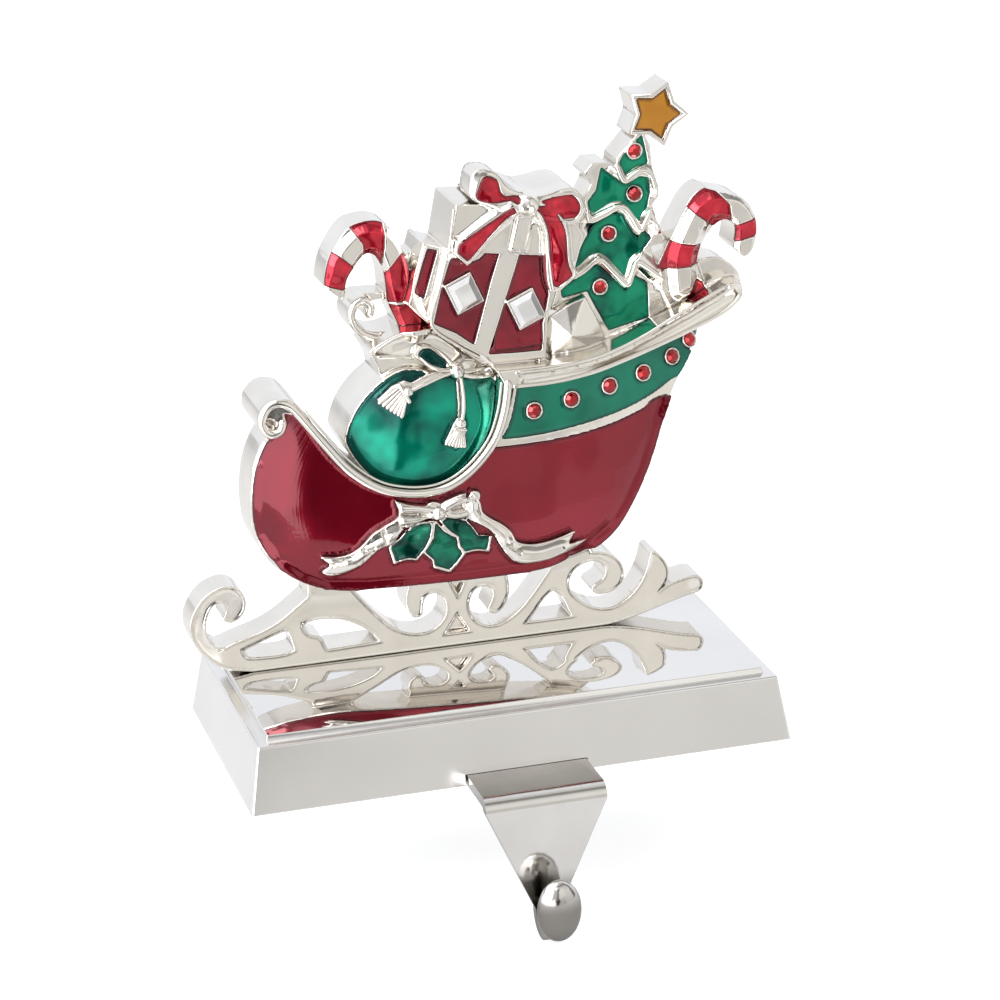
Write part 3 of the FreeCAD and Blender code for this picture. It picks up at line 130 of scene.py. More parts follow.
# The hook's nickel has a painted dark reflection: its colour is darker below the upper height and darkest
# at the lower one, round the knob.
hookLook = {"tint": (0.70, 0.68, 0.655), "shade": (0.64, 0.62, 0.59), "hollow": (0.9, 0.88, 0.86),
            "reach": 0.002, "polished": 0.08, "dull": 0.14, "paintedDarkReflection": (0.40, 0.39, 0.375), "lower": -0.0245,
            "upper": -0.0175}
baseLook = {"tint": (0.84, 0.825, 0.805), "shade": (0.78, 0.765, 0.745), "shadeAt": 0.3, "tintAt": 0.7,
            "cloud": 34.0, "grain": 160.0, "grainStrength": 0.03, "grainDepth": 0.0004, "dull": 0.2,
            "mirror": 0.015, "belowPanel": 0.0179, "onPanel": 0.0184}


# Nickel with painted shade: its colour is darker and browner in its hollows, where the occlusion node finds
# shade.
def platingMaterial(name, look):
    material, shader = newMaterial(name)
    shader.inputs["Metallic"].default_value = 1.0
    cloud = noiseOn(material, nickel["cloud"], 3.0)
    tint = rampOf(material, cloud, [(nickel["shadeAt"], look["shade"]), (nickel["tintAt"], look["tint"])])
    # Painted shade: the occlusion node darkens the colour in hollows and creases.
    hollow = addNode(material, "ShaderNodeAmbientOcclusion", samples=4, Distance=look["reach"])
    paintedShade = rampOf(material, hollow.outputs["AO"],
                  [(nickel["hollowAt"], look["hollow"]), (nickel["noShadeAt"], white)])
    wire(material, multiplied(material, tint, paintedShade), shader.inputs["Base Color"])
    rough = rampOf(material, cloud, [(nickel["polishedAt"], (look["polished"],) * 3),
                                     (nickel["dullAt"], (look["dull"],) * 3)])
    wire(material, rough, shader.inputs["Roughness"])
    grain = noiseOn(material, nickel["grain"])
    bumpFrom(material, shader, grain, nickel["grainStrength"], nickel["grainDepth"])
    return material


def hookPlating():
    material = platingMaterial("hookNickel", hookLook)
    shader = material.node_tree.nodes["Principled BSDF"]
    tint = shader.inputs["Base Color"].links[0].from_socket
    # Painted dark reflection: the colour darkens low down, where the nickel would mirror the dark room
    # below.
    height = rangeOf(material, heightOn(material), hookLook["lower"], hookLook["upper"])
    paintedDarkReflection = rampOf(material, height, [(0.0, hookLook["paintedDarkReflection"]), (1.0, white)])
    wire(material, multiplied(material, tint, paintedDarkReflection), shader.inputs["Base Color"])
    return material


# The base is satin, and the raised panel on its top is a mirror.
def basePlating():
    material, shader = newMaterial("baseNickel")
    shader.inputs["Metallic"].default_value = 1.0
    height = heightOn(material)
    onPanel = rangeOf(material, height, baseLook["belowPanel"], baseLook["onPanel"], kind="LINEAR")
    rough = rampOf(material, onPanel, [(0.0, (baseLook["dull"],) * 3), (1.0, (baseLook["mirror"],) * 3)])
    wire(material, rough, shader.inputs["Roughness"])
    cloud = noiseOn(material, baseLook["cloud"], 4.0)
    tint = rampOf(material, cloud, [(baseLook["shadeAt"], baseLook["shade"]),
                                    (baseLook["tintAt"], baseLook["tint"])])
    wire(material, tint, shader.inputs["Base Color"])
    grain = noiseOn(material, baseLook["grain"], 3.0)
    bumpFrom(material, shader, grain, baseLook["grainStrength"], baseLook["grainDepth"])
    return material


# What the enamels share where their own looks, below, don't say otherwise. The rim shade colour is painted
# shade along the metal walls and fades out over its spread, and the cloud runs from the middle colour to
# the bright one within the band.
enamelBody = {"rough": 0.17, "metal": 0.78, "specular": 0.15, "coat": 1.0, "coatRough": 0.02,
              "fillet": 0.0016, "filletRise": 0.0004, "filletStrength": 0.6, "band": (0.40, 0.66),
              "cloudDetail": 3.0, "cloudRough": 0.6, "ripple": 60.0, "rippleRise": 0.0026}
enamelLooks = {
    "hullRed": {"edge": (0.028, 0.0, 0.006), "middle": (0.48, 0.001, 0.018), "bright": (0.62, 0.005, 0.032),
                "rimShadeSpread": 0.0036, "wave": 0.8, "ripple": 36.0, "cloud": 24.0},
    "brightRed": {"edge": (0.10, 0.0, 0.006), "middle": (0.34, 0.001, 0.014), "bright": (0.60, 0.008, 0.03),
                  "rimShadeSpread": 0.0010, "wave": 0.9, "ripple": 110.0, "cloud": 150.0, "band": (0.42, 0.62)},
    "darkRedEnamel": {"edge": (0.04, 0.0, 0.004), "middle": (0.26, 0.002, 0.016),
                      "bright": (0.44, 0.006, 0.032), "rimShadeSpread": 0.0018, "wave": 0.9, "cloud": 110.0},
    "treeGreen": {"edge": (0.0, 0.02, 0.022), "middle": (0.0, 0.075, 0.055), "bright": (0.002, 0.46, 0.235),
                  "rimShadeSpread": 0.0020, "wave": 1.3, "ripple": 80.0, "cloud": 62.0, "band": (0.36, 0.50),
                  "coat": 0.5},
    "hollyGreen": {"edge": (0.0, 0.014, 0.016), "middle": (0.0, 0.045, 0.032),
                   "bright": (0.002, 0.20, 0.11), "rimShadeSpread": 0.0012, "wave": 1.2, "ripple": 110.0,
                   "cloud": 120.0, "band": (0.42, 0.60), "coat": 0.5},
    "bandGreen": {"edge": (0.0, 0.03, 0.032), "middle": (0.0, 0.22, 0.12), "bright": (0.005, 0.37, 0.215),
                  "rimShadeSpread": 0.0024, "wave": 0.7, "ripple": 45.0, "cloud": 60.0, "coat": 0.8},
    "sackGreen": {"edge": (0.0, 0.028, 0.03), "middle": (0.0, 0.085, 0.06), "bright": (0.0, 0.56, 0.34),
                  "rimShadeSpread": 0.0030, "wave": 1.1, "ripple": 60.0, "cloud": 42.0, "band": (0.42, 0.60),
                  "coat": 0.4},
    "amberEnamel": {"edge": (0.075, 0.018, 0.001), "middle": (0.56, 0.225, 0.010),
                    "bright": (0.68, 0.30, 0.018), "rimShadeSpread": 0.0012, "wave": 0.5, "cloud": 70.0},
}


# The enamel's colour darkens towards the metal round it in painted shade, where the enamel also rises in a
# small fillet.
def enamelMaterial(name, ownLook):
    look = {**enamelBody, **ownLook}
    material, shader = newMaterial(name, look["rough"])
    shader.inputs["Metallic"].default_value = look["metal"]
    depth = addNode(material, "ShaderNodeAttribute", attribute_name="rimDistance").outputs["Fac"]
    cloud = noiseOn(material, look["cloud"], look["cloudDetail"], look["cloudRough"])
    low, high = look["band"]
    body = rampOf(material, cloud, [(low, look["middle"]), (high, look["bright"])])
    # Painted shade: near the metal walls the colour darkens to the rim shade colour.
    mix = addNode(material, "ShaderNodeMix", data_type="RGBA")
    wire(material, rangeOf(material, depth, -0.2 * look["rimShadeSpread"], look["rimShadeSpread"]), mix.inputs["Factor"])
    mix.inputs["A"].default_value = (*look["edge"], 1)
    wire(material, body, mix.inputs["B"])
    wire(material, mix.outputs["Result"], shader.inputs["Base Color"])
    shader.inputs["Coat Weight"].default_value = look["coat"]
    shader.inputs["Coat Roughness"].default_value = look["coatRough"]
    shader.inputs["Specular IOR Level"].default_value = look["specular"]
    fillet = rangeOf(material, depth, 0.0, look["fillet"], 1.0, 0.0)
    rise = addNode(material, "ShaderNodeBump", Strength=look["filletStrength"], Distance=look["filletRise"])
    wire(material, fillet, rise.inputs["Height"])
    ripple = noiseOn(material, look["ripple"], 1.0)
    bump = bumpFrom(material, shader, ripple, look["wave"], look["rippleRise"])
    wire(material, rise.outputs["Normal"], bump.inputs["Normal"])
    wire(material, bump.outputs["Normal"], shader.inputs["Coat Normal"])
    return material


stoneCut = {"rough": 0.05, "cloud": 160.0, "shade": 0.75, "shadeAt": 0.3, "fullAt": 0.7, "coatRough": 0.02}


def stoneMaterial(name, colour, metal):
    material, shader = newMaterial(name, stoneCut["rough"])
    cloud = noiseOn(material, stoneCut["cloud"], 1.0)
    shade = tuple(part * stoneCut["shade"] for part in colour)
    tint = rampOf(material, cloud, [(stoneCut["shadeAt"], shade), (stoneCut["fullAt"], colour)])
    wire(material, tint, shader.inputs["Base Color"])
    shader.inputs["Metallic"].default_value = metal
    shader.inputs["Coat Weight"].default_value = 1.0
    shader.inputs["Coat Roughness"].default_value = stoneCut["coatRough"]
    return material


# What is out of sight: an iron slab, steel screws and felt.
hiddenSkin = {"darkAt": 0.35, "paleAt": 0.65, "bumps": 0.2, "bumpRise": 0.0003}
hiddenLooks = {
    "ironSkin": {"dark": (0.05, 0.05, 0.053), "pale": (0.10, 0.10, 0.103), "rough": 0.6, "metal": 1.0,
                 "cloud": 240.0},
    "screwSteel": {"dark": (0.42, 0.42, 0.43), "pale": (0.55, 0.55, 0.56), "rough": 0.3, "metal": 1.0,
                   "cloud": 500.0},
    "feltNap": {"dark": (0.012, 0.012, 0.013), "pale": (0.03, 0.03, 0.032), "rough": 0.95, "metal": 0.0,
                "cloud": 1500.0},
}


def hiddenMaterial(name, look):
    material, shader = newMaterial(name, look["rough"])
    cloud = noiseOn(material, look["cloud"], 4.0)
    tint = rampOf(material, cloud, [(hiddenSkin["darkAt"], look["dark"]),
                                    (hiddenSkin["paleAt"], look["pale"])])
    wire(material, tint, shader.inputs["Base Color"])
    shader.inputs["Metallic"].default_value = look["metal"]
    bumpFrom(material, shader, cloud, hiddenSkin["bumps"], hiddenSkin["bumpRise"])
    return material


plating = platingMaterial("brightNickel", castingLook)
enamels = {name: enamelMaterial(name, look) for name, look in enamelLooks.items()}
roseStone = stoneMaterial("roseStone", (0.44, 0.002, 0.007), 0.85)
clearStone = stoneMaterial("clearStone", white, 0.95)
ironSkin, screwSteel, feltNap = (hiddenMaterial(name, look) for name, look in hiddenLooks.items())
print("materials ready")


def nodeCopy(name, nodes):
    bm = bmesh.new()
    for node in nodes:
        bm.from_mesh(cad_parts[node].data)
    bmesh.ops.remove_doubles(bm, verts=bm.verts, dist=2e-6)
    mesh = bpy.data.meshes.new(name)
    bm.to_mesh(mesh)
    bm.free()
    piece = bpy.data.objects.new(name, mesh)
    bpy.context.scene.collection.objects.link(piece)
    return piece


def bake(piece):
    graph = bpy.context.evaluated_depsgraph_get()
    mesh = bpy.data.meshes.new_from_object(piece.evaluated_get(graph))
    piece.modifiers.clear()
    old = piece.data
    piece.data = mesh
    bpy.data.meshes.remove(old)
    return piece


def remelt(piece, voxel, rounds=0):
    melt = piece.modifiers.new("melt", "REMESH")
    melt.mode = "VOXEL"
    melt.voxel_size = voxel * mm * 1.0
    if rounds:
        polish = piece.modifiers.new("polish", "SMOOTH")
        polish.iterations = rounds
        polish.factor = 0.5
    return bake(piece)


def thin(piece, limit):
    count = sum(len(face.vertices) - 2 for face in piece.data.polygons)
    if count > limit:
        trim = piece.modifiers.new("trim", "DECIMATE")
        trim.ratio = limit / count
        bake(piece)
    return piece


def readPoints(piece):
    points = numpy.empty(len(piece.data.vertices) * 3, dtype=numpy.float32)
    piece.data.vertices.foreach_get("co", points)
    return points.reshape(-1, 3).astype(numpy.float64)


def writePoints(piece, points):
    piece.data.vertices.foreach_set("co", points.astype(numpy.float32).ravel())
    piece.data.update()


# A mesh's points, with their x and z on the drawing.
def onDrawing(piece):
    points = readPoints(piece)
    return points, points[:, 0] / mm, points[:, 2] / mm - drawing["lift"]


def readNormals(piece):
    normals = numpy.empty(len(piece.data.vertices) * 3, dtype=numpy.float32)
    piece.data.vertices.foreach_get("normal", normals)
    return normals.reshape(-1, 3)


# Evens out a mesh without shrinking it: each round draws every point in and lets it out again.
def evenOut(piece, rounds):
    drawIn, letOut = 0.5, -0.52
    mesh = piece.data
    edges = numpy.empty(len(mesh.edges) * 2, dtype=numpy.int32)
    mesh.edges.foreach_get("vertices", edges)
    first, second = edges.reshape(-1, 2).T
    points = readPoints(piece)
    count = numpy.bincount(first, minlength=len(points)) + numpy.bincount(second, minlength=len(points))
    count = numpy.maximum(count, 1)
    for factor in (drawIn, letOut) * rounds:
        for axis in range(3):
            column = points[:, axis]
            total = numpy.bincount(first, weights=column[second], minlength=len(points))
            total += numpy.bincount(second, weights=column[first], minlength=len(points))
            points[:, axis] = column + factor * (total / count - column)
    writePoints(piece, points)
    return piece


# A smooth run of points through the corners of a path.
def flowing(path, closed=False):
    steps = 5
    spots = numpy.array(path, dtype=float)
    if len(spots) < 3:
        return spots
    if closed:
        spots = numpy.vstack([spots[-1], spots, spots[:2]])
    else:
        spots = numpy.vstack([2 * spots[0] - spots[1], spots, 2 * spots[-1] - spots[-2]])
    run = []
    for before, here, there, after in zip(spots, spots[1:], spots[2:], spots[3:]):
        bend = 2 * before - 5 * here + 4 * there - after
        twist = 3 * (here - there) + after - before
        for part in numpy.arange(steps) / steps:
            run.append(here + 0.5 * part * (there - before + part * (bend + part * twist)))
    if not closed:
        run.append(spots[-2])
    return numpy.array(run)


# How far each point is from a path, in the drawing's plane.
def pathDistance(across, up, path):
    nearest = numpy.full(across.shape, numpy.inf)
    for (x1, z1), (x2, z2) in zip(path, path[1:]):
        dx, dz = x2 - x1, z2 - z1
        along = numpy.clip(((across - x1) * dx + (up - z1) * dz) / (dx * dx + dz * dz + 1e-12), 0, 1)
        nearest = numpy.minimum(nearest, numpy.hypot(across - x1 - along * dx, up - z1 - along * dz))
    return nearest


# A stroke's height from its middle, where t is 0, to its edge, where t is 1.
profiles = {
    "round": lambda t: 1 - t * t,
    "soft": lambda t: (1 - t * t) ** 1.5,
    "steep": lambda t: (1 - t) ** 2,
    "flat": lambda t: numpy.clip(2 * (1 - t), 0, 1),
}


# Each stroke is a profile, a radius, a height and a path. A positive height stands towards the viewer.
def sculpt(piece, strokes):
    points, across, up = onDrawing(piece)
    front = numpy.clip((drawing["back"] - points[:, 1] / mm) / drawing["fade"], 0, 1) ** 3
    shift = numpy.zeros(len(points))
    for profile, radius, height, path in strokes:
        path = flowing(path)
        low = path.min(axis=0) - radius
        high = path.max(axis=0) + radius
        near = (across > low[0]) & (across < high[0]) & (up > low[1]) & (up < high[1])
        reach = numpy.clip(pathDistance(across[near], up[near], path) / radius, 0, 1)
        shift[near] += height * profiles[profile](reach)
    points[:, 1] -= shift * front * mm
    writePoints(piece, points)
    return piece


# What lies near a nudge's path goes along with its move.
def nudge(piece, nudges):
    points, across, up = onDrawing(piece)
    for radius, path, move in nudges:
        reach = numpy.clip(pathDistance(across, up, path) / radius, 0, 1)
        points += ((1 - reach * reach) ** 2)[:, None] * numpy.array(move) * mm
    writePoints(piece, points)
    return piece


# Brings forward what reaches too far back near the form's path.
def makeShallow(piece, form):
    points, across, up = onDrawing(piece)
    near = pathDistance(across, up, form["path"]) < form["radius"]
    points[near, 1] = numpy.minimum(points[near, 1], form["deepest"] * mm)
    writePoints(piece, points)
    return piece


# The depth of a dome's face. Beyond the dome's edge it stays just off the back.
def domeY(across, up, name):
    x, z, halfX, halfZ, thick = drawing[name]
    inside = 1 - ((across - x) / halfX) ** 2 - ((up - z) / halfZ) ** 2
    return drawing["back"] - thick * numpy.sqrt(numpy.clip(inside, 0.01, 1))


# The enamel's face is laid back on its true dome.
def trueDome(piece, name):
    slope, reach = -0.6, 0.3
    points, across, up = onDrawing(piece)
    target = domeY(across, up, name) * mm
    facing = (readNormals(piece)[:, 1] < slope) & (numpy.abs(points[:, 1] - target) < reach * mm)
    points[facing, 1] = target[facing]
    writePoints(piece, points)
    return piece


# Writes how far each point of an enamel is from its side walls, for the material to read.
def markRims(piece):
    wallSlope = -0.45
    points = readPoints(piece)
    rims = numpy.nonzero(readNormals(piece)[:, 1] > wallSlope)[0]
    tree = KDTree(len(rims))
    for place, number in enumerate(rims):
        tree.insert(points[number], place)
    tree.balance()
    reach = [tree.find(point)[2] for point in points]
    mark = piece.data.attributes.new("rimDistance", "FLOAT", "POINT")
    mark.data.foreach_set("value", reach)
    return piece


def finish(piece, material, nodes):
    piece.data.materials.clear()
    piece.data.materials.append(material)
    piece.data.shade_smooth()
    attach(piece, "root")
    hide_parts(*nodes)
    return piece


# Where a path of the drawing lies: on a named dome, or on the plane at a depth.
def laid(path, surface, rise):
    spots = []
    for x, z in path:
        y = float(domeY(x, z, surface)) if isinstance(surface, str) else surface
        spots.append(Vector((x, y - rise, z + drawing["lift"])) * mm)
    return spots


# The smaller rings that round off a bar, from its end outwards. The way is -1 at a start and 1 at an end.
def roundedEnd(ring, way):
    spot, ahead, side, other, radius = ring
    rings = []
    for turn in (0.7, 1.2):
        middle = spot + ahead * radius * (way * math.sin(turn))
        rings.append((middle, ahead, side, other, radius * math.cos(turn)))
    return rings


# A round bar along a path, with rounded ends. The radius runs evenly from its first value to its last.
def addBar(bm, spots, radii, closed=False, sides=10):
    count = len(spots)
    rings = []
    side = Vector((0, -1, 0))
    for number, spot in enumerate(spots):
        before = spots[number - 1] if number or closed else spot
        after = spots[(number + 1) % count] if number < count - 1 or closed else spot
        ahead = (after - before).normalized()
        side = (side - ahead * side.dot(ahead)).normalized()
        other = ahead.cross(side)
        radius = radii[0] + (radii[1] - radii[0]) * number / max(count - 1, 1)
        rings.append((spot, ahead, side, other, radius * mm))
    if not closed:
        rings = roundedEnd(rings[0], -1)[::-1] + rings + roundedEnd(rings[-1], 1)
    turns = [2 * math.pi * number / sides for number in range(sides)]
    loops = []
    for spot, ahead, side, other, radius in rings:
        loops.append([bm.verts.new(spot + (side * math.cos(turn) + other * math.sin(turn)) * radius)
                      for turn in turns])
    pairs = list(zip(loops, loops[1:]))
    if closed:
        pairs.append((loops[-1], loops[0]))
    for loop, following in pairs:
        for number in range(sides):
            after = (number + 1) % sides
            bm.faces.new((loop[number], loop[after], following[after], following[number]))
    if not closed:
        bm.faces.new(loops[0][::-1])
        bm.faces.new(loops[-1])


def addBall(bm, spot, size):
    place = Matrix.Translation(spot) @ Matrix.Diagonal((*(part * mm for part in size), 1))
    bmesh.ops.create_uvsphere(bm, u_segments=20, v_segments=12, radius=1.0, matrix=place)


# A path moved sideways by a distance. On a closed path a positive distance is outwards.
def beside(path, distance, closed=False):
    spots = numpy.array(path, dtype=float)
    steps = numpy.roll(spots, -1, axis=0) - spots
    steps /= numpy.linalg.norm(steps, axis=1)[:, None] + 1e-9
    before = numpy.roll(steps, 1, axis=0)
    if not closed:
        steps[-1] = before[-1]
        before[0] = steps[0]
    lines = steps + before
    lines /= numpy.linalg.norm(lines, axis=1)[:, None] + 1e-9
    normals = numpy.stack([lines[:, 1], -lines[:, 0]], axis=1)
    if not closed:
        return (spots + normals * distance).tolist()
    x, z = spots.T
    area = numpy.sum(x * numpy.roll(z, -1) - z * numpy.roll(x, -1))
    distance = distance if area > 0 else -distance
    longest = 2.2
    stretch = numpy.clip(1 / numpy.maximum(numpy.sum(lines * steps, axis=1), 0.35), 1, longest)
    return (spots + normals * (distance * stretch)[:, None]).tolist()


def joinInto(piece, extra):
    mesh = bpy.data.meshes.new("extra")
    bmesh.ops.recalc_face_normals(extra, faces=extra.faces)
    extra.to_mesh(mesh)
    extra.free()
    bm = bmesh.new()
    bm.from_mesh(piece.data)
    bm.from_mesh(mesh)
    bm.to_mesh(piece.data)
    bm.free()
    bpy.data.meshes.remove(mesh)
    return piece


# Broad roundings that the metal and the enamel share.
sharedForms = [
    ("flat", 3.7, 1.7, [(56.9, 108.2), (56.6, 116), (59.6, 123.6), (63, 128.2), (66.6, 128.6), (71.4, 127),
                        (73.6, 122.4), (73.2, 117)]),
    ("flat", 3.7, 1.7, [(-34, 116), (-33.2, 120), (-30.6, 125), (-27, 128.4), (-23.4, 128.8),
                        (-20.2, 126.4), (-18.2, 121), (-17.2, 114), (-14.4, 106)]),
    ("round", 3.6, 1.2, [(2, 143.5), (8, 138.6), (12, 136.5)]),
    ("round", 3.6, 1.2, [(14.5, 136.4), (20, 135.4), (25, 134.5)]),
    ("round", 3.2, 0.9, [(9, 135.5), (2, 130.5), (-4, 125)]),
    ("round", 3.2, 0.9, [(16, 135), (20.5, 129), (21.8, 118)]),
    ("steep", 8.0, -2.6, [(-54, 80), (-56.4, 74.5), (-57.9, 65.5), (-57, 55)]),
    ("steep", 4.0, -0.9, [(-55.8, 52), (-53.2, 48.6), (-47, 42.6), (-39.5, 40.4), (-30, 39.9), (-10, 39.9),
                          (12, 39.8), (22, 41)]),
    ("steep", 6.0, -1.8, [(22, 41), (30, 43.5), (35.5, 47.5), (40, 54), (44.5, 63), (48.6, 73.8)]),
]
# Each nudge is a radius, a path and a move. The left loop of the gift's bow is a broad tent.
bowNudges = [
    (5.5, [(1.4, 145.6), (2.4, 145)], (1.6, 0, -1.2)),
    (4.0, [(1.2, 141.4), (5.6, 139.6)], (-0.6, 0, -2.0)),
]
# Its back stops short of the box's back.
bowDepth = {"radius": 4.2, "path": [(-1, 142), (0.6, 145.4), (3.4, 145.4)], "deepest": 8.0}
# The hull's enamel reaches the outline on the right, the left and below.
hullNudges = [
    (2.4, [(29.6, 44.3), (34.8, 48.1), (39.2, 54.5), (43.7, 63.4), (47.7, 74), (50, 81.2)],
     (0.95, -0.8, -0.35)),
    (2.0, [(-55.5, 74.3), (-57, 65.5), (-56.3, 56.4), (-52.9, 49.7)], (-0.35, -0.45, 0)),
    (2.0, [(-51, 48), (-46.6, 44.4), (-41, 42)], (-0.4, -0.7, -0.5)),
    (2.0, [(-39.2, 41.4), (-30, 40.7), (12, 40.6), (21.8, 41.8)], (0, -0.7, -0.6)),
    (3.2, [(46, 80.4), (50, 81.6)], (0.6, -0.4, 1.4)),
]
bandNudges = [(2.6, [(53.4, 86.6), (56.6, 90), (60, 95.6)], (0.6, -0.5, -0.3))]
giftNudges = [(2.6, [(5.6, 101), (11, 101), (17, 101.4)], (0, -0.5, -1.6))]
# Folds, hollows and fine lines in the metal alone.
metalLines = [
    ("soft", 3.4, -0.8, [(-20, 101.6), (-12, 102.4), (-5, 98.8), (1, 94.8)]),
    ("round", 0.45, -0.7, [(10, 93.1), (20, 93.4), (32, 95), (42, 98.1), (52, 102.4), (60, 105.6),
                           (67, 108.6)]),
    ("soft", 2.2, -0.9, [(12, 91.6), (22, 92), (33, 93.2), (44, 96.6), (55, 100.6), (64, 104.2),
                         (72, 107.6)]),
    ("soft", 2.4, 1.3, [(39.6, 140.4), (41.8, 137.2), (45.6, 139.2), (48.6, 137.6), (49.6, 134.4)]),
    ("soft", 2.4, 1.3, [(32, 129.2), (34, 128.2), (40, 130.8), (45.2, 124.2), (47.6, 127.8),
                        (50, 124.6)]),
    ("soft", 2.4, 1.3, [(27.4, 114.4), (30, 115.2), (34.8, 117.8), (41.6, 110.8), (44.6, 116.8),
                        (50, 112)]),
    ("soft", 2.2, -0.9, [(39.2, 136.8), (41.8, 134.4), (45.6, 136), (48.2, 134.6)]),
    ("soft", 2.2, -0.9, [(32.8, 126), (36, 126.6), (40, 127.6), (45.2, 121.2), (48, 124.4)]),
    ("soft", 2.2, -0.9, [(29, 111.8), (34.8, 114.4), (41.6, 107.6), (44.6, 112.8), (49, 109.4)]),
    ("round", 1.3, 0.9, [(-13.8, 60.8), (-17.4, 61.8), (-21.6, 62.2)]),
    ("round", 1.1, 0.7, [(-13.8, 59.4), (-18, 58.9), (-21.2, 58.9)]),
    ("round", 0.45, -0.8, [(-15, 60), (-21.4, 60.5)]),
    ("round", 1.2, 0.9, [(-10.6, 61.2), (-8.2, 62.4), (-5.4, 63)]),
    ("round", 1.0, 0.7, [(-10.4, 59.5), (-8, 58.9), (-5.4, 59.2)]),
    ("round", 0.8, -1.1, [(-8.2, 60.7), (-5.8, 61)]),
    ("round", 0.5, -0.7, [(-21.4, 57.6), (-19.6, 54.8)]),
    ("round", 0.5, -0.7, [(-26.2, 56.6), (-25.6, 53.6)]),
    ("round", 0.6, -0.7, [(-31, 51.6), (-28.6, 52.2)]),
    ("round", 0.6, -0.8, [(-39.6, 48.3), (-36.4, 48.8)]),
    ("round", 0.9, 0.6, [(-24, 55), (-29, 52.6), (-34, 49.2), (-39.6, 49.6)]),
    ("round", 1.2, 0.7, [(-3.6, 62), (-3.2, 59.4), (-1, 56.4), (3, 53.4), (5.8, 50)]),
    ("round", 0.4, -0.6, [(-1.6, 57.8), (1.8, 55), (4.6, 52.2), (6.2, 48.8), (9.4, 46)]),
    ("soft", 2.0, -0.5, [(10, 46.6), (14, 45.8), (20, 46.8)]),
    ("round", 0.35, -0.35, [(10.4, 132.8), (8.7, 126)]),
    ("round", 0.35, -0.35, [(14.6, 132.6), (12.9, 125.2)]),
    ("round", 0.35, -0.4, [(16.2, 131.4), (17, 127.6), (16.8, 123.6)]),
    ("round", 0.35, -0.6, [(-5, 129.4), (-2.4, 128.6)]),
    ("round", 1.3, -1.8, [(-53.6, 87.2), (-52.4, 86.2)]),
]
runnerGroove = {"face": 10.4, "top": 43.0, "border": 0.8, "depth": 0.32}

# Beads that edge the forms: radius, dome or depth, rise, path, closed.
lipLine = [(6.8, 91.4), (5.5, 84.2), (2.6, 76.9), (-2.8, 70.6), (-8.6, 66.9), (-14.5, 65.6),
           (-21.2, 66.2), (-27.8, 68.5), (-34.5, 73.7), (-40.3, 80.9), (-46, 88.6), (-48.6, 91.4),
           (-51.4, 92.2), (-54, 90.9), (-55.3, 88), (-54.8, 85.6), (-53, 84.4), (-51, 85), (-50.2, 87)]
rimLine = [(9, 94), (20, 94.2), (31.6, 95.8), (41.6, 98.9), (51.6, 103.2), (60, 106.6), (65.6, 108.8)]
hullBeads = [
    (1.2, "rim", -0.45, lipLine, False),
    (0.36, "rim", -0.3, beside(lipLine[:11], 1.75), False),
    (0.42, "rim", 0.0, rimLine, False),
    (0.55, "rim", -0.1, [(8.4, 90.6), (18.8, 90.6), (29, 91.8), (39.2, 94.3), (49.5, 97.3), (57.5, 99.8),
                         (64, 102), (68.2, 104.2), (70, 106.2)], False),
    (0.35, 3.6, 0.0, [(-25.6, 101.8), (-20, 104.7), (-13, 105.8), (-8, 104.4), (-3, 99.9), (1.2, 96.8),
                      (8, 94.8)], False),
    (0.5, 3.6, -0.2, [(-24.6, 100.2), (-19, 99.6), (-13.6, 98.6), (-9.6, 95.9)], False),
    (0.28, "hull", 1.5, [(-3.6, 64.6), (-1.9, 62), (-1.2, 59.1), (0.9, 57), (3.9, 55), (6.3, 52.6),
                         (7.6, 50), (9.6, 48.8), (12.9, 48.2), (16.9, 48.5), (20.9, 49.4), (23.4, 50.2)],
     False),
    (0.28, "hull", 1.5, [(-26.2, 57.4), (-29, 55.7), (-31.8, 52.7), (-34.6, 50.9), (-38.4, 50.2),
                         (-41.6, 50.6)], False),
]
backCurlLine = [(-21, 103.6), (-24.6, 103.6), (-28.2, 105.8), (-30, 109.4), (-29, 112.6), (-26.6, 113.6),
                (-24.9, 111.8), (-25.2, 109.8)]
leftTailLine = [(9.9, 134.9), (3.7, 130.1), (-0.7, 125.4), (-2.5, 123.7), (-5.1, 126.1), (-4.5, 127.9),
                (-1.1, 130.3), (4.7, 133.7), (8.9, 136.5)]
rightTailLine = [(16.4, 133.5), (18, 129.7), (18.6, 123.7), (19.6, 115), (20.6, 114.6), (24.4, 117.4),
                 (23, 121.7), (22.6, 128.3), (20.6, 132.9), (17, 136.2), (14.2, 136)]
rightLoopLine = [(18.9, 137.6), (24.5, 137.7), (26.2, 135.3), (25, 132), (22.1, 132), (19.9, 134.3),
                 (15.4, 137.6)]
boxBeads = [
    (0.95, 9.0, 0.0, backCurlLine, False),
    (0.26, -0.5, 0.0, beside(leftTailLine, 0.4, True), True),
    (0.26, -0.5, 0.0, beside(rightTailLine, 0.4, True), True),
    (0.32, -0.9, 0.0, beside(rightLoopLine, 0.4, True), True),
    (0.38, 2.8, 0.0, [(-6.6, 125.4), (-8.8, 117), (-11.2, 107.4), (-4.6, 101.2), (0.8, 97.6)], False),
    (0.38, 5.3, 0.0, [(-11.6, 126.6), (-15.6, 113.6), (-16.2, 112.6), (-11.4, 107.4)], False),
    (0.34, 1.0, 0.0, [(-5.3, 136.4), (-6.7, 126.6), (-6.4, 125.8)], False),
    (1.1, 4.6, 0.0, [(13.4, 95), (18.2, 95.4)], False),
]
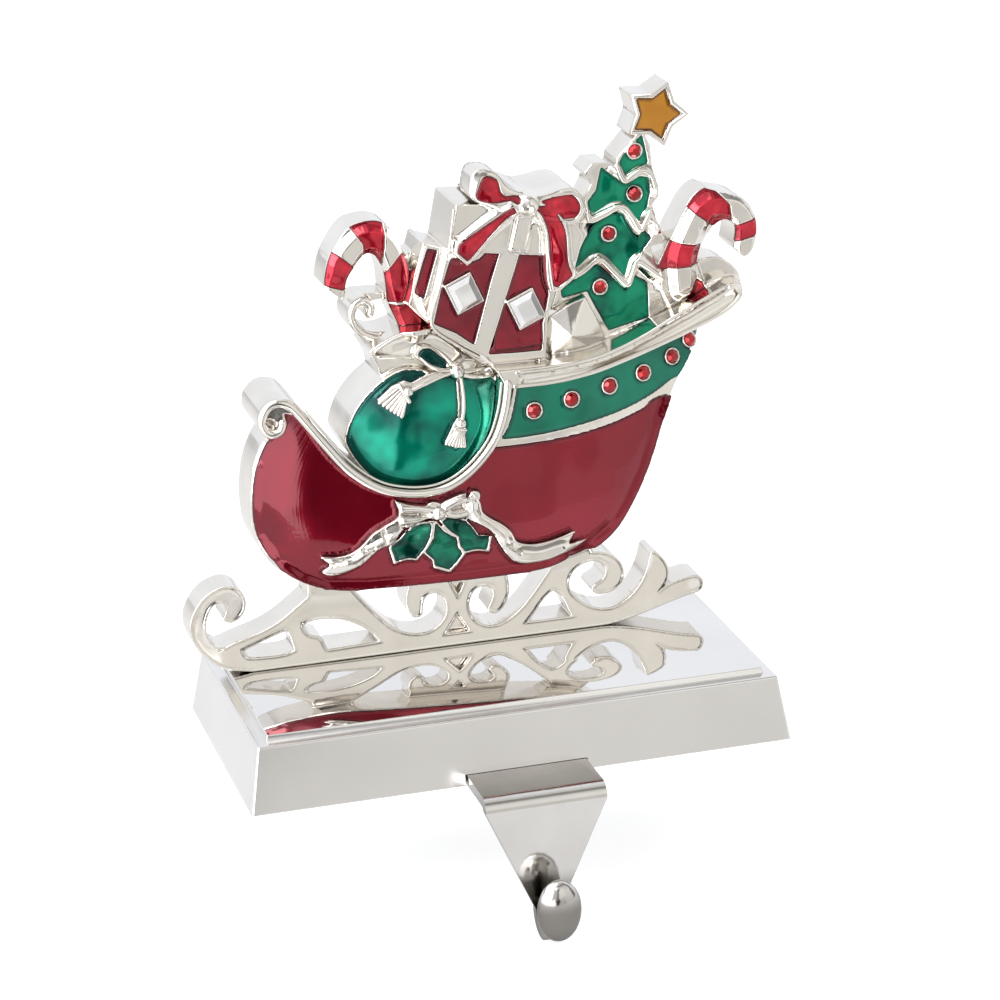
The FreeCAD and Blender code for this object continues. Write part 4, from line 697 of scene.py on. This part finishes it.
treeBeads = [
    (0.8, 9.2, 0.0, [(39.4, 141.2), (40.4, 138.6), (41.7, 137.3), (43.6, 138.6), (45.6, 139.5),
                     (47.2, 139.2), (48.4, 138), (49.4, 135)], False),
    (0.8, 9.2, 0.0, [(31.6, 129.6), (32.4, 128), (36, 129.2), (38.6, 130.4), (41, 130.6), (43.2, 128),
                     (45.4, 124.4), (46.8, 126.4), (48, 128.8)], False),
    (0.8, 9.2, 0.0, [(27.8, 113.9), (30.6, 115.3), (34.5, 117.7), (38.4, 114), (41.8, 110.4), (43.2, 113),
                     (44.4, 116), (47, 114.6), (50.6, 111.6)], False),
]
starForm = {"middle": (50, 153.4), "points": 5, "turn": 68, "reach": 7.85, "waist": 0.62, "depth": 9.9,
            "radius": 0.7}
hullKnot = {"place": (-12.3, 60.2), "rise": 2.0, "size": (1.75, 1.5, 1.75)}
tassels = [
    {"head": (-18.7, 92), "collar": [(-20.6, 93.7), (-18.8, 89.9)], "from": [(-20.9, 93), (-19.4, 90.2)],
     "to": [(-25.8, 89.8), (-20.9, 86.4)],
     "cord": [(-6.2, 95.2), (-10, 94.6), (-14.5, 93.4), (-17.6, 92.4)]},
    {"head": (-5.9, 82.9), "collar": [(-7.6, 81.9), (-5, 81.2)], "from": [(-7.2, 81.6), (-5.4, 81.1)],
     "to": [(-10, 78.5), (-5.2, 77)], "cord": [(-4.8, 95), (-4.6, 91), (-4.8, 87), (-5.5, 84)]},
]
tasselForm = {"rise": 1.2, "cord": 0.5, "head": (1.35, 1.2, 1.2), "collarRise": 1.4, "collar": 0.6,
              "flutes": 7, "fluteRise": 1.1, "bulge": 0.35, "flute": (0.34, 0.55)}
# The sack's mouth is gathered where the cord is tied round it.
gatherForm = {"rise": 1.0, "radii": (0.75, 0.35)}
gathers = [[(-5.6, 95.6), (-3.2, 97.2), (0.4, 96.4)], [(-5.4, 95.2), (-2, 94.4), (4.6, 94.2)],
           [(-5.2, 94.6), (-1, 93), (5, 91.8)], [(-6, 96), (-7.6, 98.4), (-10, 100.4), (-13, 101.4)],
           [(-6.4, 95.6), (-9, 95.8), (-12.4, 97.4), (-14.8, 99.8)]]
# The melt's voxel, its rounds of evening out before and after the strokes, and its most triangles.
castingMelt = {"voxel": 0.28, "before": 7, "after": 2, "limit": 165000}


# Sinks the flat front of the runner inside a border.
def grooveRunner(piece):
    bm = bmesh.new()
    bm.from_mesh(piece.data)
    faces = []
    for face in bm.faces:
        middle = face.calc_center_median()
        inFront = face.normal.y < -0.99 and abs(middle.y / mm - runnerGroove["face"]) < 0.05
        if inFront and middle.z / mm < runnerGroove["top"]:
            faces.append(face)
    border, depth = runnerGroove["border"] * mm, runnerGroove["depth"] * mm
    bmesh.ops.inset_region(bm, faces=faces, thickness=border, depth=-depth, use_boundary=True,
                           use_even_offset=True)
    bm.to_mesh(piece.data)
    bm.free()


def addTassel(bm, form):
    addBar(bm, laid(flowing(form["cord"]), "sack", tasselForm["rise"]), (tasselForm["cord"],) * 2)
    addBall(bm, laid([form["head"]], "sack", tasselForm["rise"])[0], tasselForm["head"])
    addBar(bm, laid(form["collar"], "sack", tasselForm["collarRise"]), (tasselForm["collar"],) * 2)
    for number in range(tasselForm["flutes"]):
        part = number / (tasselForm["flutes"] - 1)
        start = [near + (far - near) * part for near, far in zip(*form["from"])]
        end = [near + (far - near) * part for near, far in zip(*form["to"])]
        path = flowing([start, [(near + far) / 2 for near, far in zip(start, end)], end])
        rise = tasselForm["fluteRise"] + tasselForm["bulge"] * math.sin(math.pi * part)
        addBar(bm, laid(path, "sack", rise), tasselForm["flute"], sides=8)


def starPath(form):
    x, z = form["middle"]
    corners = 2 * form["points"]
    spots = []
    for number in range(corners):
        reach = form["reach"] * (1 if number % 2 == 0 else form["waist"])
        angle = math.radians(form["turn"] + 360 / corners * number)
        spots.append((x + reach * math.cos(angle), z + reach * math.sin(angle)))
    return spots


def figureDetails():
    bm = bmesh.new()
    for radius, surface, rise, path, closed in hullBeads + boxBeads + treeBeads:
        addBar(bm, laid(flowing(path, closed), surface, rise), (radius, radius), closed)
    addBar(bm, laid(starPath(starForm), starForm["depth"], 0.0), (starForm["radius"],) * 2, True)
    addBall(bm, laid([hullKnot["place"]], "hull", hullKnot["rise"])[0], hullKnot["size"])
    for form in tassels:
        addTassel(bm, form)
    for path in gathers:
        addBar(bm, laid(flowing(path), "sack", gatherForm["rise"]), gatherForm["radii"])
    return bm


def buildFigure():
    piece = nodeCopy("sleighCasting", ["sleigh_figure"])
    grooveRunner(piece)
    remelt(piece, castingMelt["voxel"])
    evenOut(piece, castingMelt["before"])
    sculpt(piece, sharedForms + metalLines)
    makeShallow(piece, bowDepth)
    nudge(piece, bowNudges)
    evenOut(piece, castingMelt["after"])
    thin(piece, castingMelt["limit"])
    joinInto(piece, figureDetails())
    return finish(piece, plating, ["sleigh_figure"])


buildFigure()
print("sleigh casting ready")


enamelMelt = {"polish": 1, "even": 4, "limit": 150000}
# Name, node, look, slot, voxel, and where they are needed the dome that its face lies on and its nudges.
enamelPieces = [
    ("hullEnamel", "hull_enamel", "hullRed", "red_enamel", 0.36, "hull", hullNudges),
    ("bandEnamel", "band_enamel", "bandGreen", "green_enamel", 0.3, "hull", bandNudges),
    ("sackEnamel", "sack_enamel", "sackGreen", "green_enamel", 0.3, "sack"),
    ("hollyEnamel", "holly_enamel", "hollyGreen", "green_enamel", 0.2),
    ("giftEnamel", "gift_enamel", "darkRedEnamel", "dark_red_enamel", 0.25, None, giftNudges),
    ("giftBowEnamel", "gift_bow_enamel", "brightRed", "red_enamel", 0.22, None, bowNudges),
    ("caneLeftEnamel", "cane_left_enamel", "brightRed", "red_enamel", 0.22),
    ("caneRightEnamel", "cane_right_enamel", "brightRed", "red_enamel", 0.22),
    ("treeEnamel", "tree_enamel", "treeGreen", "green_enamel", 0.22),
    ("starEnamel", "star_enamel", "amberEnamel", "amber_enamel", 0.2),
]


def buildEnamel(name, node, look, slotName, voxel, dome=None, nudges=()):
    piece = nodeCopy(name, [node])
    remelt(piece, voxel, enamelMelt["polish"])
    evenOut(piece, enamelMelt["even"])
    if dome:
        trueDome(piece, dome)
    sculpt(piece, sharedForms)
    nudge(piece, nudges)
    thin(piece, enamelMelt["limit"])
    markRims(piece)
    return finish(piece, enamels[look], [node])


for enamelPiece in enamelPieces:
    buildEnamel(*enamelPiece)
print("enamel ready")


# Edges sharper than the first angle are bevelled, and faces that meet flatter than the second are joined.
edgeForm = {"sharp": math.radians(35), "flat": math.radians(0.6), "segments": 2}


def crispCopy(name, node, material, width):
    piece = nodeCopy(name, [node])
    bm = bmesh.new()
    bm.from_mesh(piece.data)
    bmesh.ops.dissolve_limit(bm, angle_limit=edgeForm["flat"], verts=bm.verts, edges=bm.edges)
    bm.to_mesh(piece.data)
    bm.free()
    finish(piece, material, [node])
    piece.data.set_sharp_from_angle(angle=edgeForm["sharp"])
    edges = piece.modifiers.new("edges", "BEVEL")
    edges.width = width * mm
    edges.segments = edgeForm["segments"]
    edges.limit_method = "ANGLE"
    edges.angle_limit = edgeForm["sharp"]
    edges.harden_normals = True
    return bake(piece)


crispCopy("baseShell", "base_shell", basePlating(), 0.18)
crispCopy("hookBar", "hook", hookPlating(), 0.3)
plainNodes = {"base_weight": ironSkin, "weight_screws": screwSteel, "base_pad": feltNap,
              "hook_screws": screwSteel, "figure_screws": screwSteel, "band_stones": roseStone,
              "tree_stones": roseStone, "gift_crystals": clearStone}
for node, material in plainNodes.items():
    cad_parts[node].data.materials.clear()
    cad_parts[node].data.materials.append(material)
print("base and hook ready")


# To the camera alone the floor also glows, so that it comes out white there.
stageSizes = {"floor": -0.0365, "reach": 9.0, "front": -0.17, "colour": (0.50, 0.50, 0.50),
              "paler": (0.53, 0.53, 0.53), "cloud": 3.0, "rough": 0.9, "specular": 0.1, "glow": 0.68}


def buildFloor():
    bm = bmesh.new()
    bmesh.ops.create_grid(bm, x_segments=1, y_segments=1, size=stageSizes["reach"])
    middle = (0, stageSizes["reach"] + stageSizes["front"], stageSizes["floor"])
    bmesh.ops.translate(bm, verts=bm.verts, vec=middle)
    mesh = bpy.data.meshes.new("studioFloor")
    bm.to_mesh(mesh)
    bm.free()
    floor = bpy.data.objects.new("studioFloor", mesh)
    bpy.context.scene.collection.objects.link(floor)
    material, shader = newMaterial("paleFloor", stageSizes["rough"])
    cloud = noiseOn(material, stageSizes["cloud"])
    tint = rampOf(material, cloud, [(0.0, stageSizes["colour"]), (1.0, stageSizes["paler"])])
    wire(material, tint, shader.inputs["Base Color"])
    shader.inputs["Specular IOR Level"].default_value = stageSizes["specular"]
    shader.inputs["Emission Color"].default_value = (1, 1, 1, 1)
    ray = addNode(material, "ShaderNodeLightPath")
    seen = addNode(material, "ShaderNodeMath", operation="MULTIPLY")
    seen.inputs[1].default_value = stageSizes["glow"]
    wire(material, ray.outputs["Is Camera Ray"], seen.inputs[0])
    wire(material, seen.outputs["Value"], shader.inputs["Emission Strength"])
    floor.data.materials.append(material)


buildFloor()

# All the lamps look at one spot. Only the first is mirrored in the metal, beside the studio's walls.
lampTarget = Vector((0, 0, 0.07))
lamps = [
    {"name": "keySoftbox", "place": (-0.85, -0.6, 0.95), "size": (0.8, 0.8), "power": 8.0},
    {"name": "topSoftbox", "place": (0.1, 0.15, 1.3), "size": (1.3, 1.3), "power": 10.0},
    {"name": "rightSoftbox", "place": (1.0, -0.75, 0.25), "size": (0.5, 0.9), "power": 4.0},
    {"name": "frontFill", "place": (0.1, -1.4, 0.35), "size": (1.2, 0.8), "power": 6.0},
]


def addLamp(name, place, size, power, mirrored):
    light = bpy.data.lights.new(name, "AREA")
    light.energy = power
    light.shape = "RECTANGLE"
    light.size, light.size_y = size
    lamp = bpy.data.objects.new(name, light)
    lamp.location = place
    lamp.rotation_euler = (lampTarget - Vector(place)).to_track_quat("-Z", "Y").to_euler()
    lamp.visible_glossy = mirrored
    bpy.context.scene.collection.objects.link(lamp)


for lamp in lamps:
    addLamp(**lamp, mirrored=lamp is lamps[0])

# What the metal mirrors: studio walls by their angle round the object, brightest on the left, and parts
# of them that are darker or brighter. The darkest is where the camera stands. Angles are in degrees.
studio = {
    "back": (0.98, 1.01, 1.07), "front": (0.80, 0.79, 0.765), "left": (2.45, 2.45, 2.52),
    "frontFrom": (105, 70), "leftFrom": (-125, -100), "leftTo": (0, -14), "waver": 0.24, "ripple": 5.0,
    "soft": 2.0,
    "parts": [
        {"sides": (-11.0, 4.0), "heights": (-88.0, 4.0), "level": 0.05},
        {"sides": (-26.0, 3.0), "heights": (4.0, 38.0), "level": 0.30},
        {"sides": (-75.0, 75.0), "heights": (46.0, 66.0), "level": 0.45},
        {"sides": (27.0, 62.0), "heights": (-34.0, 30.0), "level": 1.15},
        {"sides": (3.0, 27.0), "heights": (6.0, 34.0), "level": 1.30},
        {"sides": (17.0, 27.0), "heights": (-34.0, 0.0), "level": 0.85},
        {"sides": (4.0, 62.0), "heights": (-88.0, -34.0), "level": 0.34},
        {"sides": (66.0, 82.0), "heights": (-60.0, 60.0), "level": 0.35},
    ],
}


def buildWorld():
    world = bpy.data.worlds.new("studioWorld")
    bpy.context.scene.world = world
    world.use_nodes = True
    tree = world.node_tree
    tree.nodes.clear()

    def chain(kind, sources, **values):
        node = tree.nodes.new(kind)
        for key, value in values.items():
            setattr(node, key, value)
        for key, source in sources.items():
            if isinstance(source, bpy.types.NodeSocket):
                tree.links.new(source, node.inputs[key])
            else:
                node.inputs[key].default_value = source
        return node

    def step(value, start, stop):
        ranges = {"Value": value, "From Min": math.radians(start), "From Max": math.radians(stop)}
        return chain("ShaderNodeMapRange", ranges, interpolation_type="SMOOTHSTEP").outputs["Result"]

    def times(first, second):
        return chain("ShaderNodeMath", {0: first, 1: second}, operation="MULTIPLY").outputs["Value"]

    def within(value, low, high):
        soft = studio["soft"]
        return times(step(value, low - soft, low + soft), step(value, high + soft, high - soft))

    def blend(share, first, second):
        sources = {"Factor": share, "A": first, "B": second}
        return chain("ShaderNodeMix", sources, data_type="RGBA").outputs["Result"]

    def vectorStep(operation, sources):
        return chain("ShaderNodeVectorMath", sources, operation=operation).outputs["Vector"]

    # The walls waver a little, so that no edge of theirs is straight in the metal.
    place = tree.nodes.new("ShaderNodeTexCoord").outputs["Generated"]
    ripple = chain("ShaderNodeTexNoise", {"Vector": place, "Scale": studio["ripple"], "Detail": 1.0})
    bend = vectorStep("SUBTRACT", {0: ripple.outputs["Color"], 1: (0.5, 0.5, 0.5)})
    bent = vectorStep("ADD", {0: place, 1: vectorStep("SCALE", {0: bend, "Scale": studio["waver"]})})
    split = chain("ShaderNodeSeparateXYZ", {"Vector": bent})
    facing = times(split.outputs["Y"], -1.0)
    side = chain("ShaderNodeMath", {0: split.outputs["X"], 1: facing}, operation="ARCTAN2").outputs["Value"]
    height = chain("ShaderNodeMath", {0: split.outputs["Z"]}, operation="ARCSINE").outputs["Value"]

    level = 1.0
    for part in studio["parts"]:
        inside = times(within(side, *part["sides"]), within(height, *part["heights"]))
        share = chain("ShaderNodeMapRange", {"Value": inside, "To Min": 1.0, "To Max": part["level"]})
        level = times(share.outputs["Result"], level)

    back, front, left = ((*studio[wall], 1) for wall in ("back", "front", "left"))
    pastLeft = step(side, *studio["leftFrom"])
    behind = blend(pastLeft, back, blend(step(side, *studio["frontFrom"]), back, front))
    paint = blend(times(pastLeft, step(side, *studio["leftTo"])), behind, left)
    lit = chain("ShaderNodeBackground", {"Color": paint, "Strength": level})
    page = chain("ShaderNodeBackground", {"Color": (1, 1, 1, 1)})
    ray = tree.nodes.new("ShaderNodeLightPath")
    mix = chain("ShaderNodeMixShader", {"Fac": ray.outputs["Is Camera Ray"], 1: lit.outputs["Background"],
                                        2: page.outputs["Background"]})
    chain("ShaderNodeOutputWorld", {"Surface": mix.outputs["Shader"]})


buildWorld()

cameraFit = {"side": -16.438, "height": 20.056, "roll": -1.157, "distance": 0.85257,
             "target": (0.00465, 0, 0.06085), "lens": 122.1, "sensor": 36.0}


def buildCamera():
    side, height, roll = (math.radians(cameraFit[key]) for key in ("side", "height", "roll"))
    back = Vector((math.sin(side) * math.cos(height), -math.cos(side) * math.cos(height), math.sin(height)))
    right = Vector((0, 0, 1)).cross(back).normalized()
    upward = back.cross(right)
    turnedRight = right * math.cos(roll) + upward * math.sin(roll)
    turnedUp = upward * math.cos(roll) - right * math.sin(roll)
    camera = bpy.data.objects.new("camera", bpy.data.cameras.new("camera"))
    camera.data.lens = cameraFit["lens"]
    camera.data.sensor_width = cameraFit["sensor"]
    place = Vector(cameraFit["target"]) + back * cameraFit["distance"]
    turn = Matrix((turnedRight, turnedUp, back)).transposed().to_4x4()
    camera.matrix_world = Matrix.Translation(place) @ turn
    bpy.context.scene.collection.objects.link(camera)
    bpy.context.scene.camera = camera


buildCamera()
bpy.context.scene.view_settings.view_transform = "Standard"
print("stage ready")
